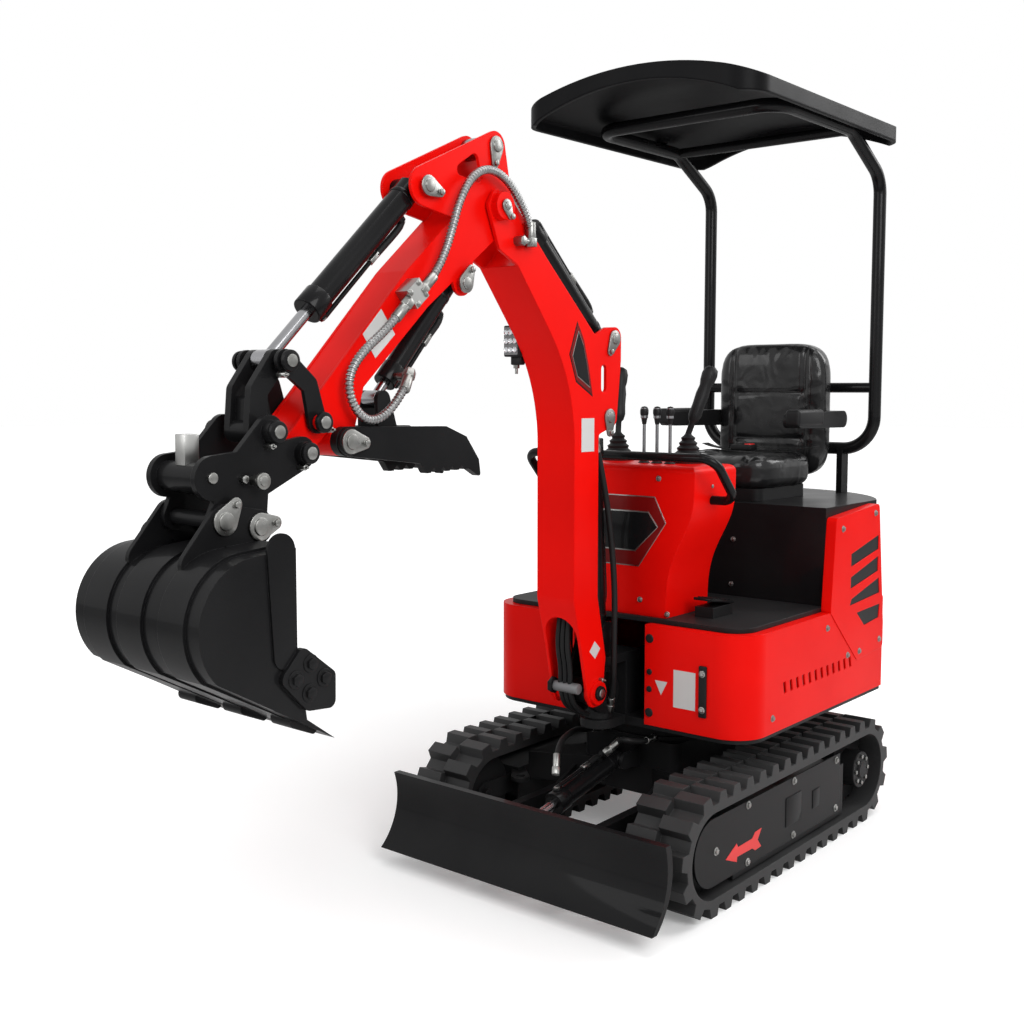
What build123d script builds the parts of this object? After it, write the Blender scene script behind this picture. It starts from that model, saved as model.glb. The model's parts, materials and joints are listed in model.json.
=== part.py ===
from build123d import *
from math import cos, hypot, pi, radians, sin
import os

os.makedirs("parts", exist_ok=True)

# A one-tonne mini excavator, in millimetres.
# X is the operator's left, the front of the machine is -Y, Z is up.
# The origin is on the ground, on the slewing axis.

# Clearances and shared thicknesses
FIT = 0.1
SEAT = 0.3
SIDE_PLAY = 1.0
RUNNING = 6.0
PLATE = 10.0
SHEET = 6.0

# Tracks
TRACK_GAUGE = 750.0
TRACK_WIDTH = 180.0
WHEELBASE = 936.0
PITCH_RADIUS = 126.0
LINK_PITCH = 72.0
BELT_INSIDE = 10.0
BELT_OUTSIDE = 12.0
LUG_HEIGHT = 27.0
LUG_ROOT = 44.0
LUG_TIP = 28.0
SPROCKET_TEETH = 11
SPROCKET_WIDTH = 40.0
IDLER_WIDTH = 70.0
ROLLER_RADIUS = 34.0
ROLLER_PITCH = 220.0
ROLLER_COUNT = 3
AXLE_RADIUS = 14.0
COVER_PLATE = 5.0
COVER_END = 306.0

# Frame between the tracks
BEAM_HALF = 70.0
BEAM_TOP = 50.0
FLANGE = 9.0
BODY_BOX = (340.0, 380.0)
BODY_FLOOR = 170.0
BODY_TOP = 340.0
LEG_HEIGHT = 85.0
RING_RADIUS = 205.0
RING_BORE = 140.0
RING_HEIGHT = 55.0
TIE_EYE = (265.0, -378.0)
TIE_Z = 195.0
TIE_RADIUS = 14.0
TIE_PLATE = 12.0

# Dozer blade
BLADE_WIDTH = 935.0
BLADE_HEIGHT = 210.0
BLADE_REACH = 137.0
BLADE_LIFT = 50.0
BLADE_LEAN = 56.0
BLADE_HOLLOW = 34.0
BLADE_SHELL = 22.0
BLADE_PIVOT = (-300.0, 165.0)
BLADE_ARM_X = 150.0
BLADE_ARM_WIDTH = 30.0
BLADE_ARM_DEPTH = 60.0
BLADE_CYLINDER_BASE = (-262.0, 285.0)
BLADE_EYE_BACK = 125.0
BLADE_EYE_Z = 205.0
BLADE_EYE_HALF = 32.0
BLADE_UP = -18.0
BLADE_DOWN = 24.0

# Upper structure
DECK_PLATE = 25.0
BODY_HALF_WIDTH = 455.0
FRONT_Y = -295.0
SIDE_END_Y = 590.0
TAIL_Y = 880.0
FRONT_CORNER = 100.0
FRONT_GAP = 125.0
SKIRT_FOOT = 418.0
FLOOR_Z = 708.0
MAT = 14.0
RIM = 30.0
HOOD_FRONT_Y = 222.0
HOOD_INSET = 30.0
HOOD_TOP = 1020.0
VENT_COUNT = 12
PANEL_PROUD = 2.0
PANEL_HEEL_Y = 394.0
PANEL_FOOT = 534.0
CLAW_DEPTH = 5.0
CLAWS = (
    ((338, 872), (540, 914), (540, 868), (338, 832)),
    ((338, 800), (540, 846), (540, 798), (338, 764)),
    ((334, 712), (346, 732), (548, 776), (556, 726)),
    ((386, 684), (560, 690), (552, 646), (444, 636)),
)
ENGINE_SIZE = (420.0, 340.0, 420.0)
ENGINE_Y = 410.0

# Console and controls
CONSOLE_FRONT_Y = -250.0
CONSOLE_DEPTH = 230.0
CONSOLE_TOP = 1158.0
CONSOLE_TOP_HALF = 255.0
CONSOLE_FOOT_HALF = 165.0
STICK_X = 125.0
STICK_Y = -75.0
STICK_TOP = 1425.0
STICK_BOOT = 85.0
STICK_LEAN = (36.0, 62.0)
LEVER_X = (20.0, 65.0, 110.0)
LEVER_Y = -150.0
LEVER_TOP = 1320.0
RAIL_RADIUS = 13.0
RAIL_Z = 1185.0
RAIL_HALF = 330.0

# Seat and canopy
SEAT_HALF_WIDTH = 215.0
SEAT_FRONT_Y = 235.0
SEAT_LENGTH = 410.0
SEAT_Z = 1060.0
CUSHION = 105.0
BACK_THICKNESS = 90.0
BACK_TOP = 1520.0
POST_X = 322.0
POST_Y = 795.0
POST_RADIUS = 21.0
POST_FOOT_Z = 1172.0
POST_TOP_Z = 2074.0
LOOP_REAR_Y = 560.0
LOOP_FRONT_Y = 80.0
LOOP_Z = 2196.0
ROOF_FRONT_Y = -222.0
ROOF_REAR_Y = 800.0
ROOF_HALF_WIDTH = 402.0
ROOF_CORNER = 95.0
ROOF_RIM = 44.0
ROOF_PAD = 17.0
ROOF_RIM_Z = 2175.0
ROOF_CROWN_Z = 2292.0
ROOF_SHELL = 14.0

# Boom and swing bracket, as (y, z) places at rest
SWING_Y = -345.0
SWING_HUB = 42.0
SWING_PIN = 20.0
SWING_LUG_Z = 590.0
BRACKET_BACK = 60.0
BOOM_FOOT = (-444.0, 529.0)
BOOM_KNEE = (-496.0, 1250.0)
BOOM_TIP = (-860.0, 1820.0)
BOOM_HALF_WIDTH = 63.5
BOOM_DEPTH = 110.0
BOOM_HEEL = 270.0
BOOM_BEND = 470.0
BOOM_ARCH = 165.0
BOOM_PLATE = 9.0
BOOM_CYLINDER_BASE = (-362.0, 690.0)
BOOM_CYLINDER_EYE = (-392.0, 1297.0)
ARM_CYLINDER_BASE = (-370.0, 1514.0)
PIN = 16.0
BOSS = 34.0
BOOM_UP = -2.0
BOOM_DOWN = 100.0

# Arm and its linkage, as (y, z) places at rest
ARM_TIP = (-1512.0, 1243.0)
ARM_HALF_WIDTH = 50.0
ARM_PLATE = 8.0
ARM_TAIL = (-860.0, 1967.0)
ARM_OUT = -85.0
ARM_IN = 30.0
BUCKET_CYLINDER_BASE = (-1110.0, 1840.0)
ROCKER_PIVOT = (-1456.0, 1305.0)
ROCKER_TOP = (-1541.0, 1433.0)
LINK_FOOT = (-1596.0, 1289.0)
LINKAGE_PIN = 12.0
LINKAGE_BOSS = 24.0
ROCKER_PLATE = 10.0
THUMB_PIVOT = (-1379.0, 1262.0)
THUMB_CYLINDER_BASE = (-984.0, 1627.0)
THUMB_CYLINDER_EYE = (-1231.0, 1352.0)
THUMB_LENGTH = 440.0
THUMB_CLOSED = -85.0
BUCKET_DUMP = -60.0
BUCKET_CURL = 70.0

# Hitch and bucket, as (y, z) places at rest
HITCH_HALF = 80.0
HITCH_PLATE = 14.0
HITCH_HEART = 54.0
HITCH_NOSE_RADIUS = 44.0
HITCH_NOSE = (-1737.0, 1202.0)
BUCKET_PIN_FRONT = (-1723.0, 1118.0)
BUCKET_PIN_REAR = (-1638.0, 1101.0)
BUCKET_WIDTH = 410.0
BUCKET_CENTRE = (-1735.0, 925.0)
BUCKET_RADIUS = 135.0
BUCKET_LIP = (-1640.0, 1068.0)
BUCKET_EDGE = (-1545.0, 670.0)
BUCKET_WALL = 10.0
BUCKET_STRAP = 6.0
SIDE_CUTTER = 14.0
BUCKET_EAR = 12.0

# Cylinder sizes as (barrel radius, rod radius, eye radius)
BOOM_CYLINDER = (31.0, 15.0, 27.0)
ARM_CYLINDER = (30.0, 15.0, 27.0)
BUCKET_CYLINDER = (30.0, 14.0, 24.0)
THUMB_CYLINDER = (24.0, 12.0, 20.0)
BLADE_CYLINDER = (29.0, 14.0, 24.0)
GLAND = 1.0
STROKE_SPARE = 30.0

# Places worked out from the sizes above
AXLE_Z = PITCH_RADIUS + BELT_OUTSIDE + LUG_HEIGHT
BELT_BORE = PITCH_RADIUS - BELT_INSIDE
TRACK_X = TRACK_GAUGE / 2
LOOP_LENGTH = 2 * WHEELBASE + 2 * pi * PITCH_RADIUS
LINK_COUNT = round(LOOP_LENGTH / LINK_PITCH)
HOOD_HALF_WIDTH = BODY_HALF_WIDTH - HOOD_INSET
IDLER_Y = -WHEELBASE / 2
BLADE_EDGE = (IDLER_Y - AXLE_Z - BLADE_REACH, BLADE_LIFT)
BLADE_CYLINDER_EYE = (BLADE_EDGE[0] + BLADE_EYE_BACK, BLADE_EYE_Z)
SPROCKET_Y = WHEELBASE / 2
ROLLER_Z = AXLE_Z - BELT_BORE + SEAT + ROLLER_RADIUS
BEAM_END = WHEELBASE / 2 - BELT_BORE - 2 * RUNNING
BEAM_INNER = TRACK_X - BEAM_HALF
RING_Z = BODY_TOP + PLATE
DECK_Z = RING_Z + RING_HEIGHT + SEAT
MAT_TOP = FLOOR_Z + MAT
DECK_HALF_WIDTH = BODY_HALF_WIDTH - SHEET - SEAT
DECK_FRONT_Y = FRONT_Y + SHEET + SEAT
BOOM_GAP = BOOM_HALF_WIDTH - BOOM_PLATE
ARM_GAP = ARM_HALF_WIDTH - ARM_PLATE
HITCH_GAP = HITCH_HALF - HITCH_PLATE
KNUCKLE_HALF = BOOM_GAP - PLATE - SIDE_PLAY
BRACKET_SWEEP = hypot(KNUCKLE_HALF, BRACKET_BACK - SWING_HUB / 2) + RUNNING


def keep(piece, name):
    """Label a finished piece and write it."""
    piece.part.label = name
    export_step(piece.part, f"parts/{name}.step")


def shifted(point, dy, dz):
    """A (y, z) place moved by dy and dz."""
    return (point[0] + dy, point[1] + dz)


def turned(point, centre, angle):
    """A (y, z) place turned about a centre, where positive lowers the front."""
    c = cos(radians(angle))
    s = sin(radians(angle))
    dy = point[0] - centre[0]
    dz = point[1] - centre[1]
    return (centre[0] + dy * c - dz * s, centre[1] + dy * s + dz * c)


def between(start, end, share):
    """The place at a share of the way from start to end."""
    return tuple(a + (b - a) * share for a, b in zip(start, end))


def distance(start, end):
    """The distance between two (y, z) places."""
    return hypot(end[0] - start[0], end[1] - start[1])


def reaches(base, eye, centre, low, high):
    """The shortest and longest pin distance of a cylinder over its joint's range."""
    steps = 24
    turns = [low + (high - low) * i / steps for i in range(steps + 1)]
    spans = [distance(base, turned(eye, centre, turn)) for turn in turns]
    return min(spans), max(spans)


def upright(x):
    """A side plane at x, drawn in (y, z)."""
    return Plane(origin=(x, 0, 0), x_dir=(0, 1, 0), z_dir=(1, 0, 0))


def bar(start, start_radius, end, end_radius):
    """Draw a tapered bar with round ends in the open sketch."""
    with BuildSketch(mode=Mode.PRIVATE) as shape:
        with Locations(start):
            Circle(start_radius)
        with Locations(end):
            Circle(end_radius)
        make_hull()
    add(shape.sketch_local)


def outline(points, radius, mode=Mode.ADD):
    """Draw a closed outline with rounded corners in the open sketch."""
    with BuildLine() as border:
        FilletPolyline(*points, radius=radius, close=True)
    make_face(border.edges(), mode=mode)


def eye_tube(place, radius, half_width):
    """Add a tube across the machine at a (y, z) place to the open part."""
    with BuildSketch(upright(0)) as section:
        with Locations(place):
            Circle(radius)
    extrude(section.sketch, amount=half_width, both=True)


def cross_bore(place, radius, half_width):
    """Cut a bore across the machine at a (y, z) place from the open part."""
    with BuildSketch(upright(0)) as section:
        with Locations(place):
            Circle(radius)
    extrude(section.sketch, amount=half_width, both=True, mode=Mode.SUBTRACT)


def stub(place, radius, start_x, end_x):
    """Add a round stub between two x places to the open part."""
    with BuildSketch(upright(start_x)) as section:
        with Locations(place):
            Circle(radius)
    extrude(section.sketch, amount=end_x - start_x)


def along(base, eye, start):
    """A plane across a cylinder's axis, a distance from its base pin."""
    span = distance(base, eye)
    direction = (0, (eye[0] - base[0]) / span, (eye[1] - base[1]) / span)
    return Plane(origin=(0, *base), x_dir=(1, 0, 0), z_dir=direction).offset(start)


def make_barrel(name, base, eye, sizes, spans, eye_half, pin):
    """Make a cylinder's barrel, with its base eye and the bore for the rod."""
    barrel_radius, rod_radius, eye_radius = sizes
    mouth = spans[0] - eye_radius - STROKE_SPARE
    with BuildPart() as barrel:
        eye_tube(base, eye_radius, eye_half)
        with BuildSketch(along(base, eye, 0)):
            Circle(barrel_radius)
        extrude(amount=mouth)
        cross_bore(base, pin + FIT, barrel_radius + eye_half)
        with BuildSketch(along(base, eye, eye_radius + PLATE)):
            Circle(rod_radius + GLAND)
        extrude(amount=mouth, mode=Mode.SUBTRACT)
        with BuildSketch(along(base, eye, mouth - PLATE)):
            Circle(barrel_radius)
            Circle(rod_radius + FIT, mode=Mode.SUBTRACT)
        extrude(amount=PLATE)
    keep(barrel, name)


def make_rod(name, base, eye, sizes, spans, eye_half, pin):
    """Make a cylinder's rod, from its inner end to its eye."""
    barrel_radius, rod_radius, eye_radius = sizes
    span = distance(base, eye)
    inner_end = eye_radius + PLATE + STROKE_SPARE + span - spans[0]
    with BuildPart() as rod:
        eye_tube(eye, eye_radius, eye_half)
        with BuildSketch(along(base, eye, inner_end)):
            Circle(rod_radius)
        extrude(amount=span - inner_end)
        cross_bore(eye, pin + FIT, barrel_radius + eye_half)
    keep(rod, name)


# Track loops, two rows of lugs half a link apart
def loop_point(length, rise):
    """The (y, z) place on the loop, a length along it and a rise off the pitch line."""
    radius = PITCH_RADIUS + rise
    half_turn = pi * PITCH_RADIUS
    length = length % LOOP_LENGTH
    if length < WHEELBASE:
        return (IDLER_Y + length, -radius)
    length -= WHEELBASE
    if length < half_turn:
        angle = length / PITCH_RADIUS - pi / 2
        return (SPROCKET_Y + radius * cos(angle), radius * sin(angle))
    length -= half_turn
    if length < WHEELBASE:
        return (SPROCKET_Y - length, radius)
    length -= WHEELBASE
    angle = length / PITCH_RADIUS + pi / 2
    return (IDLER_Y + radius * cos(angle), radius * sin(angle))


def lug_row(phase):
    """The outline of one row of lugs round the loop."""
    link = LOOP_LENGTH / LINK_COUNT
    points = []
    for number in range(LINK_COUNT):
        middle = (number + phase) * link
        points.append(loop_point(middle - LUG_ROOT / 2, BELT_OUTSIDE))
        points.append(loop_point(middle - LUG_TIP / 2, BELT_OUTSIDE + LUG_HEIGHT))
        points.append(loop_point(middle + LUG_TIP / 2, BELT_OUTSIDE + LUG_HEIGHT))
        points.append(loop_point(middle + LUG_ROOT / 2, BELT_OUTSIDE))
    return points


for name, side in (("track_left", 1), ("track_right", -1)):
    with BuildPart() as track:
        for phase, row_start in ((0.0, 0.0), (0.5, -TRACK_WIDTH / 2)):
            row_plane = Plane(
                origin=(side * TRACK_X + row_start, 0, AXLE_Z), x_dir=(0, 1, 0), z_dir=(1, 0, 0)
            )
            with BuildSketch(row_plane):
                with BuildLine():
                    Polyline(*lug_row(phase), close=True)
                make_face()
                SlotCenterToCenter(WHEELBASE, 2 * BELT_BORE, mode=Mode.SUBTRACT)
            extrude(amount=TRACK_WIDTH / 2)
    keep(track, name)

# Drive sprockets at the rear
with BuildPart() as sprockets:
    for side in (1, -1):
        tip = BELT_BORE - SEAT
        with BuildSketch(upright(side * TRACK_X)):
            with Locations((SPROCKET_Y, AXLE_Z)):
                Circle(tip - BELT_OUTSIDE)
                with PolarLocations(tip - BELT_OUTSIDE, SPROCKET_TEETH):
                    Rectangle(2 * BELT_OUTSIDE, LUG_TIP)
            with Locations((SPROCKET_Y, AXLE_Z)):
                Circle(tip, mode=Mode.INTERSECT)
        extrude(amount=SPROCKET_WIDTH / 2, both=True)
        stub((SPROCKET_Y, AXLE_Z), tip / 2, side * (TRACK_X - BEAM_HALF), side * (TRACK_X + BEAM_HALF))
keep(sprockets, "sprockets")

# Idlers at the front
with BuildPart() as idlers:
    for side in (1, -1):
        rim = BELT_BORE - SEAT
        with BuildSketch(upright(side * TRACK_X)):
            with Locations((IDLER_Y, AXLE_Z)):
                Circle(rim)
        extrude(amount=IDLER_WIDTH / 2, both=True)
        with BuildSketch(upright(side * TRACK_X)):
            with Locations((IDLER_Y, AXLE_Z)):
                Circle(AXLE_RADIUS)
        extrude(amount=BEAM_HALF - FLANGE, both=True)
keep(idlers, "idlers")

# Track rollers, three on each side
ROLLER_HALF = BEAM_HALF - FLANGE - SIDE_PLAY
ROLLER_PLACES = [
    ((number - (ROLLER_COUNT - 1) / 2) * ROLLER_PITCH, ROLLER_Z) for number in range(ROLLER_COUNT)
]
with BuildPart() as rollers:
    for side in (1, -1):
        with BuildSketch(upright(side * TRACK_X)):
            with Locations(*ROLLER_PLACES):
                Circle(ROLLER_RADIUS)
        extrude(amount=ROLLER_HALF, both=True)
        with BuildSketch(upright(side * TRACK_X)):
            with Locations(*ROLLER_PLACES):
                Circle(AXLE_RADIUS)
        extrude(amount=BEAM_HALF, both=True)
keep(rollers, "rollers")

# Frame: box, four legs and the lugs of the blade and its cylinder
LUG_INNER = BLADE_ARM_WIDTH / 2 + SIDE_PLAY
CYLINDER_LUG = BLADE_EYE_HALF + SIDE_PLAY
with BuildPart() as car_body:
    with BuildSketch(Plane.XY.offset(BODY_FLOOR)):
        Rectangle(*BODY_BOX)
    extrude(amount=BODY_TOP - BODY_FLOOR)
    fillet(car_body.edges().filter_by(Axis.Z), radius=3 * PLATE)
    with BuildSketch(Plane.XY.offset(BODY_TOP)):
        Circle(RING_RADIUS)
    extrude(amount=PLATE)
    for side in (1, -1):
        for end in (1, -1):
            with BuildSketch(Plane.XY.offset(BODY_FLOOR)):
                Polygon(
                    (side * BODY_BOX[0] / 4, end * BODY_BOX[1] / 2),
                    (side * BODY_BOX[0] / 2, end * BODY_BOX[1] / 6),
                    (side * BEAM_INNER, end * BODY_BOX[1] / 2),
                    (side * BEAM_INNER, end * BEAM_END * 0.85),
                    align=None,
                )
            extrude(amount=LEG_HEIGHT)
        for lug in (LUG_INNER, -LUG_INNER - PLATE):
            with BuildSketch(upright(side * BLADE_ARM_X + lug)):
                bar((-BODY_BOX[1] / 2 + PLATE, BODY_FLOOR + LEG_HEIGHT / 2), LEG_HEIGHT / 2 - PLATE, BLADE_PIVOT, 30)
            extrude(amount=PLATE)
        stub(BLADE_PIVOT, PIN, side * (BLADE_ARM_X - LUG_INNER - PLATE), side * (BLADE_ARM_X + LUG_INNER + PLATE))
    for lug in (CYLINDER_LUG, -CYLINDER_LUG - PLATE):
        with BuildSketch(upright(lug)):
            bar(shifted(BLADE_CYLINDER_BASE, 3 * PIN, 0), 24, BLADE_CYLINDER_BASE, 24)
            bar(
                (-BODY_BOX[1] / 2 + PLATE, BODY_TOP - 5 * PLATE), 4 * PLATE,
                shifted(BLADE_CYLINDER_BASE, 2 * PIN, 0), 24,
            )
        extrude(amount=PLATE)
    stub(BLADE_CYLINDER_BASE, PIN, -CYLINDER_LUG - PLATE, CYLINDER_LUG + PLATE)
keep(car_body, "car_body")

# Track frames: beams with idler forks, motor plates and tie-down eyes
with BuildPart() as track_frames:
    for side in (1, -1):
        beam_plane = Plane(origin=(side * TRACK_X, -BEAM_END, 0), x_dir=(1, 0, 0), z_dir=(0, 1, 0))
        with BuildSketch(beam_plane):
            with Locations((0, -(AXLE_Z + BEAM_TOP))):
                Rectangle(
                    2 * BEAM_HALF, AXLE_Z + BEAM_TOP - ROLLER_Z + 2 * AXLE_RADIUS, align=(Align.CENTER, Align.MIN)
                )
            with Locations((0, -(ROLLER_Z + ROLLER_RADIUS + RUNNING))):
                Rectangle(
                    2 * (BEAM_HALF - FLANGE), 4 * ROLLER_RADIUS, align=(Align.CENTER, Align.MIN),
                    mode=Mode.SUBTRACT,
                )
        extrude(amount=2 * BEAM_END)
        for inner in (IDLER_WIDTH / 2 + SIDE_PLAY, -IDLER_WIDTH / 2 - SIDE_PLAY - PLATE):
            with BuildSketch(upright(side * TRACK_X + inner)):
                bar((-BEAM_END + BEAM_TOP, AXLE_Z), 2 * AXLE_RADIUS, (IDLER_Y, AXLE_Z), 2 * AXLE_RADIUS)
            extrude(amount=PLATE)
        with BuildSketch(upright(side * BEAM_INNER)):
            bar((BEAM_END, AXLE_Z), BEAM_TOP, (SPROCKET_Y, AXLE_Z), BELT_BORE / 2)
        extrude(amount=-side * 2 * PLATE)
        with BuildSketch(Plane.XY.offset(TIE_Z)):
            bar(
                (side * (BEAM_INNER + FLANGE), -BEAM_END + TIE_RADIUS), 1.5 * TIE_RADIUS,
                (side * TIE_EYE[0], TIE_EYE[1]), 2 * TIE_RADIUS,
            )
            with Locations((side * TIE_EYE[0], TIE_EYE[1])):
                Circle(TIE_RADIUS, mode=Mode.SUBTRACT)
        extrude(amount=TIE_PLATE)
    for place in ROLLER_PLACES:
        cross_bore(place, AXLE_RADIUS + FIT, TRACK_GAUGE)
    cross_bore((IDLER_Y, AXLE_Z), AXLE_RADIUS + FIT, TRACK_GAUGE)
    cross_bore((SPROCKET_Y, AXLE_Z), (BELT_BORE - SEAT) / 2 + FIT, BEAM_INNER + SEAT)
keep(track_frames, "track_frames")

# Flat covers over the track frames
with BuildPart() as side_covers:
    for side in (1, -1):
        with BuildSketch(upright(side * (TRACK_X + BEAM_HALF))):
            bar((IDLER_Y + 2 * RUNNING, AXLE_Z), BELT_BORE - 4 * RUNNING, (-BEAM_END, AXLE_Z), BELT_BORE - 4 * RUNNING)
            with Locations((-BEAM_END, AXLE_Z)):
                Rectangle(
                    BEAM_END + COVER_END, 2 * (BELT_BORE - 4 * RUNNING), align=(Align.MIN, Align.CENTER)
                )
        extrude(amount=side * COVER_PLATE)
keep(side_covers, "side_covers")

# Slewing ring
with BuildPart() as slew_bearing:
    with BuildSketch(Plane.XY.offset(RING_Z)):
        Circle(RING_RADIUS - PLATE)
        Circle(RING_BORE, mode=Mode.SUBTRACT)
    extrude(amount=RING_HEIGHT)
keep(slew_bearing, "slew_bearing")

# Dozer blade with its two arms and the lugs of its cylinder
BLADE_TOP = shifted(BLADE_EDGE, BLADE_LEAN, BLADE_HEIGHT)
with BuildPart() as blade:
    middle = shifted(between(BLADE_EDGE, BLADE_TOP, 0.5), BLADE_HOLLOW, -BLADE_HOLLOW * BLADE_LEAN / BLADE_HEIGHT)
    with BuildSketch(upright(0)):
        with BuildLine():
            front = ThreePointArc(BLADE_EDGE, middle, BLADE_TOP)
            back = ThreePointArc(
                shifted(BLADE_TOP, BLADE_SHELL, 0), shifted(middle, BLADE_SHELL, 0), shifted(BLADE_EDGE, BLADE_SHELL, 0)
            )
            Line(front @ 1, back @ 0)
            Line(back @ 1, front @ 0)
        make_face()
    extrude(amount=BLADE_WIDTH / 2, both=True)
    blade_back = shifted(between(BLADE_EDGE, BLADE_TOP, 0.5), BLADE_HOLLOW + BLADE_SHELL / 2, 0)
    for side in (1, -1):
        with BuildSketch(upright(side * BLADE_ARM_X)):
            bar(BLADE_PIVOT, BLADE_ARM_DEPTH / 2, blade_back, BLADE_ARM_DEPTH * 0.6)
        extrude(amount=BLADE_ARM_WIDTH / 2, both=True)
        with BuildSketch(upright(side * (CYLINDER_LUG + PLATE / 2))):
            bar(BLADE_CYLINDER_EYE, 24, shifted(BLADE_CYLINDER_EYE, -40, -20), 34)
        extrude(amount=PLATE / 2, both=True)
    with BuildSketch(upright(0)):
        with BuildLine():
            front = ThreePointArc(BLADE_EDGE, middle, BLADE_TOP)
            Line(front @ 1, shifted(BLADE_TOP, -BLADE_HEIGHT, 0))
            Line(shifted(BLADE_TOP, -BLADE_HEIGHT, 0), shifted(BLADE_EDGE, -BLADE_HEIGHT, 0))
            Line(shifted(BLADE_EDGE, -BLADE_HEIGHT, 0), front @ 0)
        make_face()
    extrude(amount=BLADE_WIDTH, both=True, mode=Mode.SUBTRACT)
    cross_bore(BLADE_PIVOT, PIN + FIT, BLADE_WIDTH / 2)
keep(blade, "blade")

blade_spans = reaches(BLADE_CYLINDER_BASE, BLADE_CYLINDER_EYE, BLADE_PIVOT, BLADE_UP, BLADE_DOWN)
blade_cylinder = (BLADE_CYLINDER_BASE, BLADE_CYLINDER_EYE, BLADE_CYLINDER, blade_spans)
make_barrel("blade_cylinder_barrel", *blade_cylinder, BLADE_EYE_HALF, PIN)
make_rod("blade_cylinder_rod", *blade_cylinder, BLADE_EYE_HALF, PIN)

# Turntable with the lugs of the boom swing pin
with BuildPart() as turntable:
    with BuildSketch(Plane.XY.offset(DECK_Z)):
        with BuildLine():
            edge = FilletPolyline(
                (-DECK_HALF_WIDTH, SIDE_END_Y), (-DECK_HALF_WIDTH, DECK_FRONT_Y), (DECK_HALF_WIDTH, DECK_FRONT_Y),
                (DECK_HALF_WIDTH, SIDE_END_Y),
                radius=FRONT_CORNER - SHEET - SEAT,
            )
            Line(edge @ 1, edge @ 0)
        make_face()
        with Locations((0, SWING_Y)):
            Circle(SWING_HUB + PLATE)
        with Locations((0, SWING_Y)):
            Rectangle(2 * (SWING_HUB + PLATE), 150, align=(Align.CENTER, Align.MIN))
    extrude(amount=DECK_PLATE)
    with BuildSketch(Plane.XY.offset(SWING_LUG_Z)):
        with Locations((0, SWING_Y)):
            Circle(SWING_HUB + PLATE)
        with Locations((0, SWING_Y)):
            Rectangle(2 * (SWING_HUB + PLATE), 120, align=(Align.CENTER, Align.MIN))
    extrude(amount=DECK_PLATE)
    with BuildSketch(Plane.XY.offset(DECK_Z)):
        with Locations((0, SWING_Y + BRACKET_SWEEP)):
            Rectangle(2 * (SWING_HUB + PLATE), 70, align=(Align.CENTER, Align.MIN))
    extrude(amount=SWING_LUG_Z + DECK_PLATE - DECK_Z)
    with BuildSketch(Plane.XY.offset(DECK_Z)):
        with Locations((0, SWING_Y)):
            Circle(SWING_PIN)
    extrude(amount=SWING_LUG_Z + DECK_PLATE + PLATE - DECK_Z)
keep(turntable, "turntable")


def skirt_wall(side, width):
    """Draw the plan of one side skirt and its front panel, a width thick, in the open sketch."""
    with BuildLine() as border:
        outer = FilletPolyline(
            (side * FRONT_GAP, FRONT_Y), (side * BODY_HALF_WIDTH, FRONT_Y), (side * BODY_HALF_WIDTH, SIDE_END_Y),
            radius=FRONT_CORNER,
        )
        inner = FilletPolyline(
            (side * FRONT_GAP, FRONT_Y + width),
            (side * (BODY_HALF_WIDTH - width), FRONT_Y + width),
            (side * (BODY_HALF_WIDTH - width), SIDE_END_Y),
            radius=FRONT_CORNER - width,
        )
        Line(outer @ 0, inner @ 0)
        Line(outer @ 1, inner @ 1)
    make_face(border.edges())


def panel_outline():
    """Draw the side panel's outline, which reaches down over the skirt, in the open sketch."""
    outline(
        [
            (HOOD_FRONT_Y - 2 * PLATE, FLOOR_Z), (PANEL_HEEL_Y, PANEL_FOOT), (SIDE_END_Y, PANEL_FOOT + PLATE),
            (SIDE_END_Y, PANEL_FOOT + 9 * PLATE), (SIDE_END_Y - 5 * PLATE, HOOD_TOP - SHEET),
            (HOOD_FRONT_Y + SHEET, HOOD_TOP - RIM),
        ],
        16,
    )


# Painted side skirts with a row of slanted vent slots
for name, side in (("skirt_left", 1), ("skirt_right", -1)):
    with BuildPart() as skirt:
        with BuildSketch(Plane.XY.offset(SKIRT_FOOT)):
            skirt_wall(side, SHEET)
        extrude(amount=FLOOR_Z - SKIRT_FOOT)
        with BuildSketch(Plane.XY.offset(FLOOR_Z - SHEET)):
            skirt_wall(side, 2 * RIM)
        extrude(amount=SHEET)
        with BuildSketch(upright(side * BODY_HALF_WIDTH)):
            with GridLocations(39, 1, VENT_COUNT, 1):
                with Locations((135, 536)):
                    Rectangle(14, 34, rotation=12)
        extrude(amount=-side * 2 * SHEET, mode=Mode.SUBTRACT)
        with BuildSketch(upright(side * (BODY_HALF_WIDTH - SHEET))):
            panel_outline()
            offset(amount=SEAT)
        extrude(amount=side * 2 * SHEET, mode=Mode.SUBTRACT)
    keep(skirt, name)

# Counterweight round the tail
with BuildPart() as counterweight:
    with BuildSketch(Plane.XY.offset(SKIRT_FOOT)):
        with BuildLine():
            tail = ThreePointArc(
                (BODY_HALF_WIDTH, SIDE_END_Y + SEAT), (0, TAIL_Y), (-BODY_HALF_WIDTH, SIDE_END_Y + SEAT)
            )
            Line(tail @ 1, tail @ 0)
        make_face()
    extrude(amount=FLOOR_Z - SKIRT_FOOT)
keep(counterweight, "counterweight")

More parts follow.
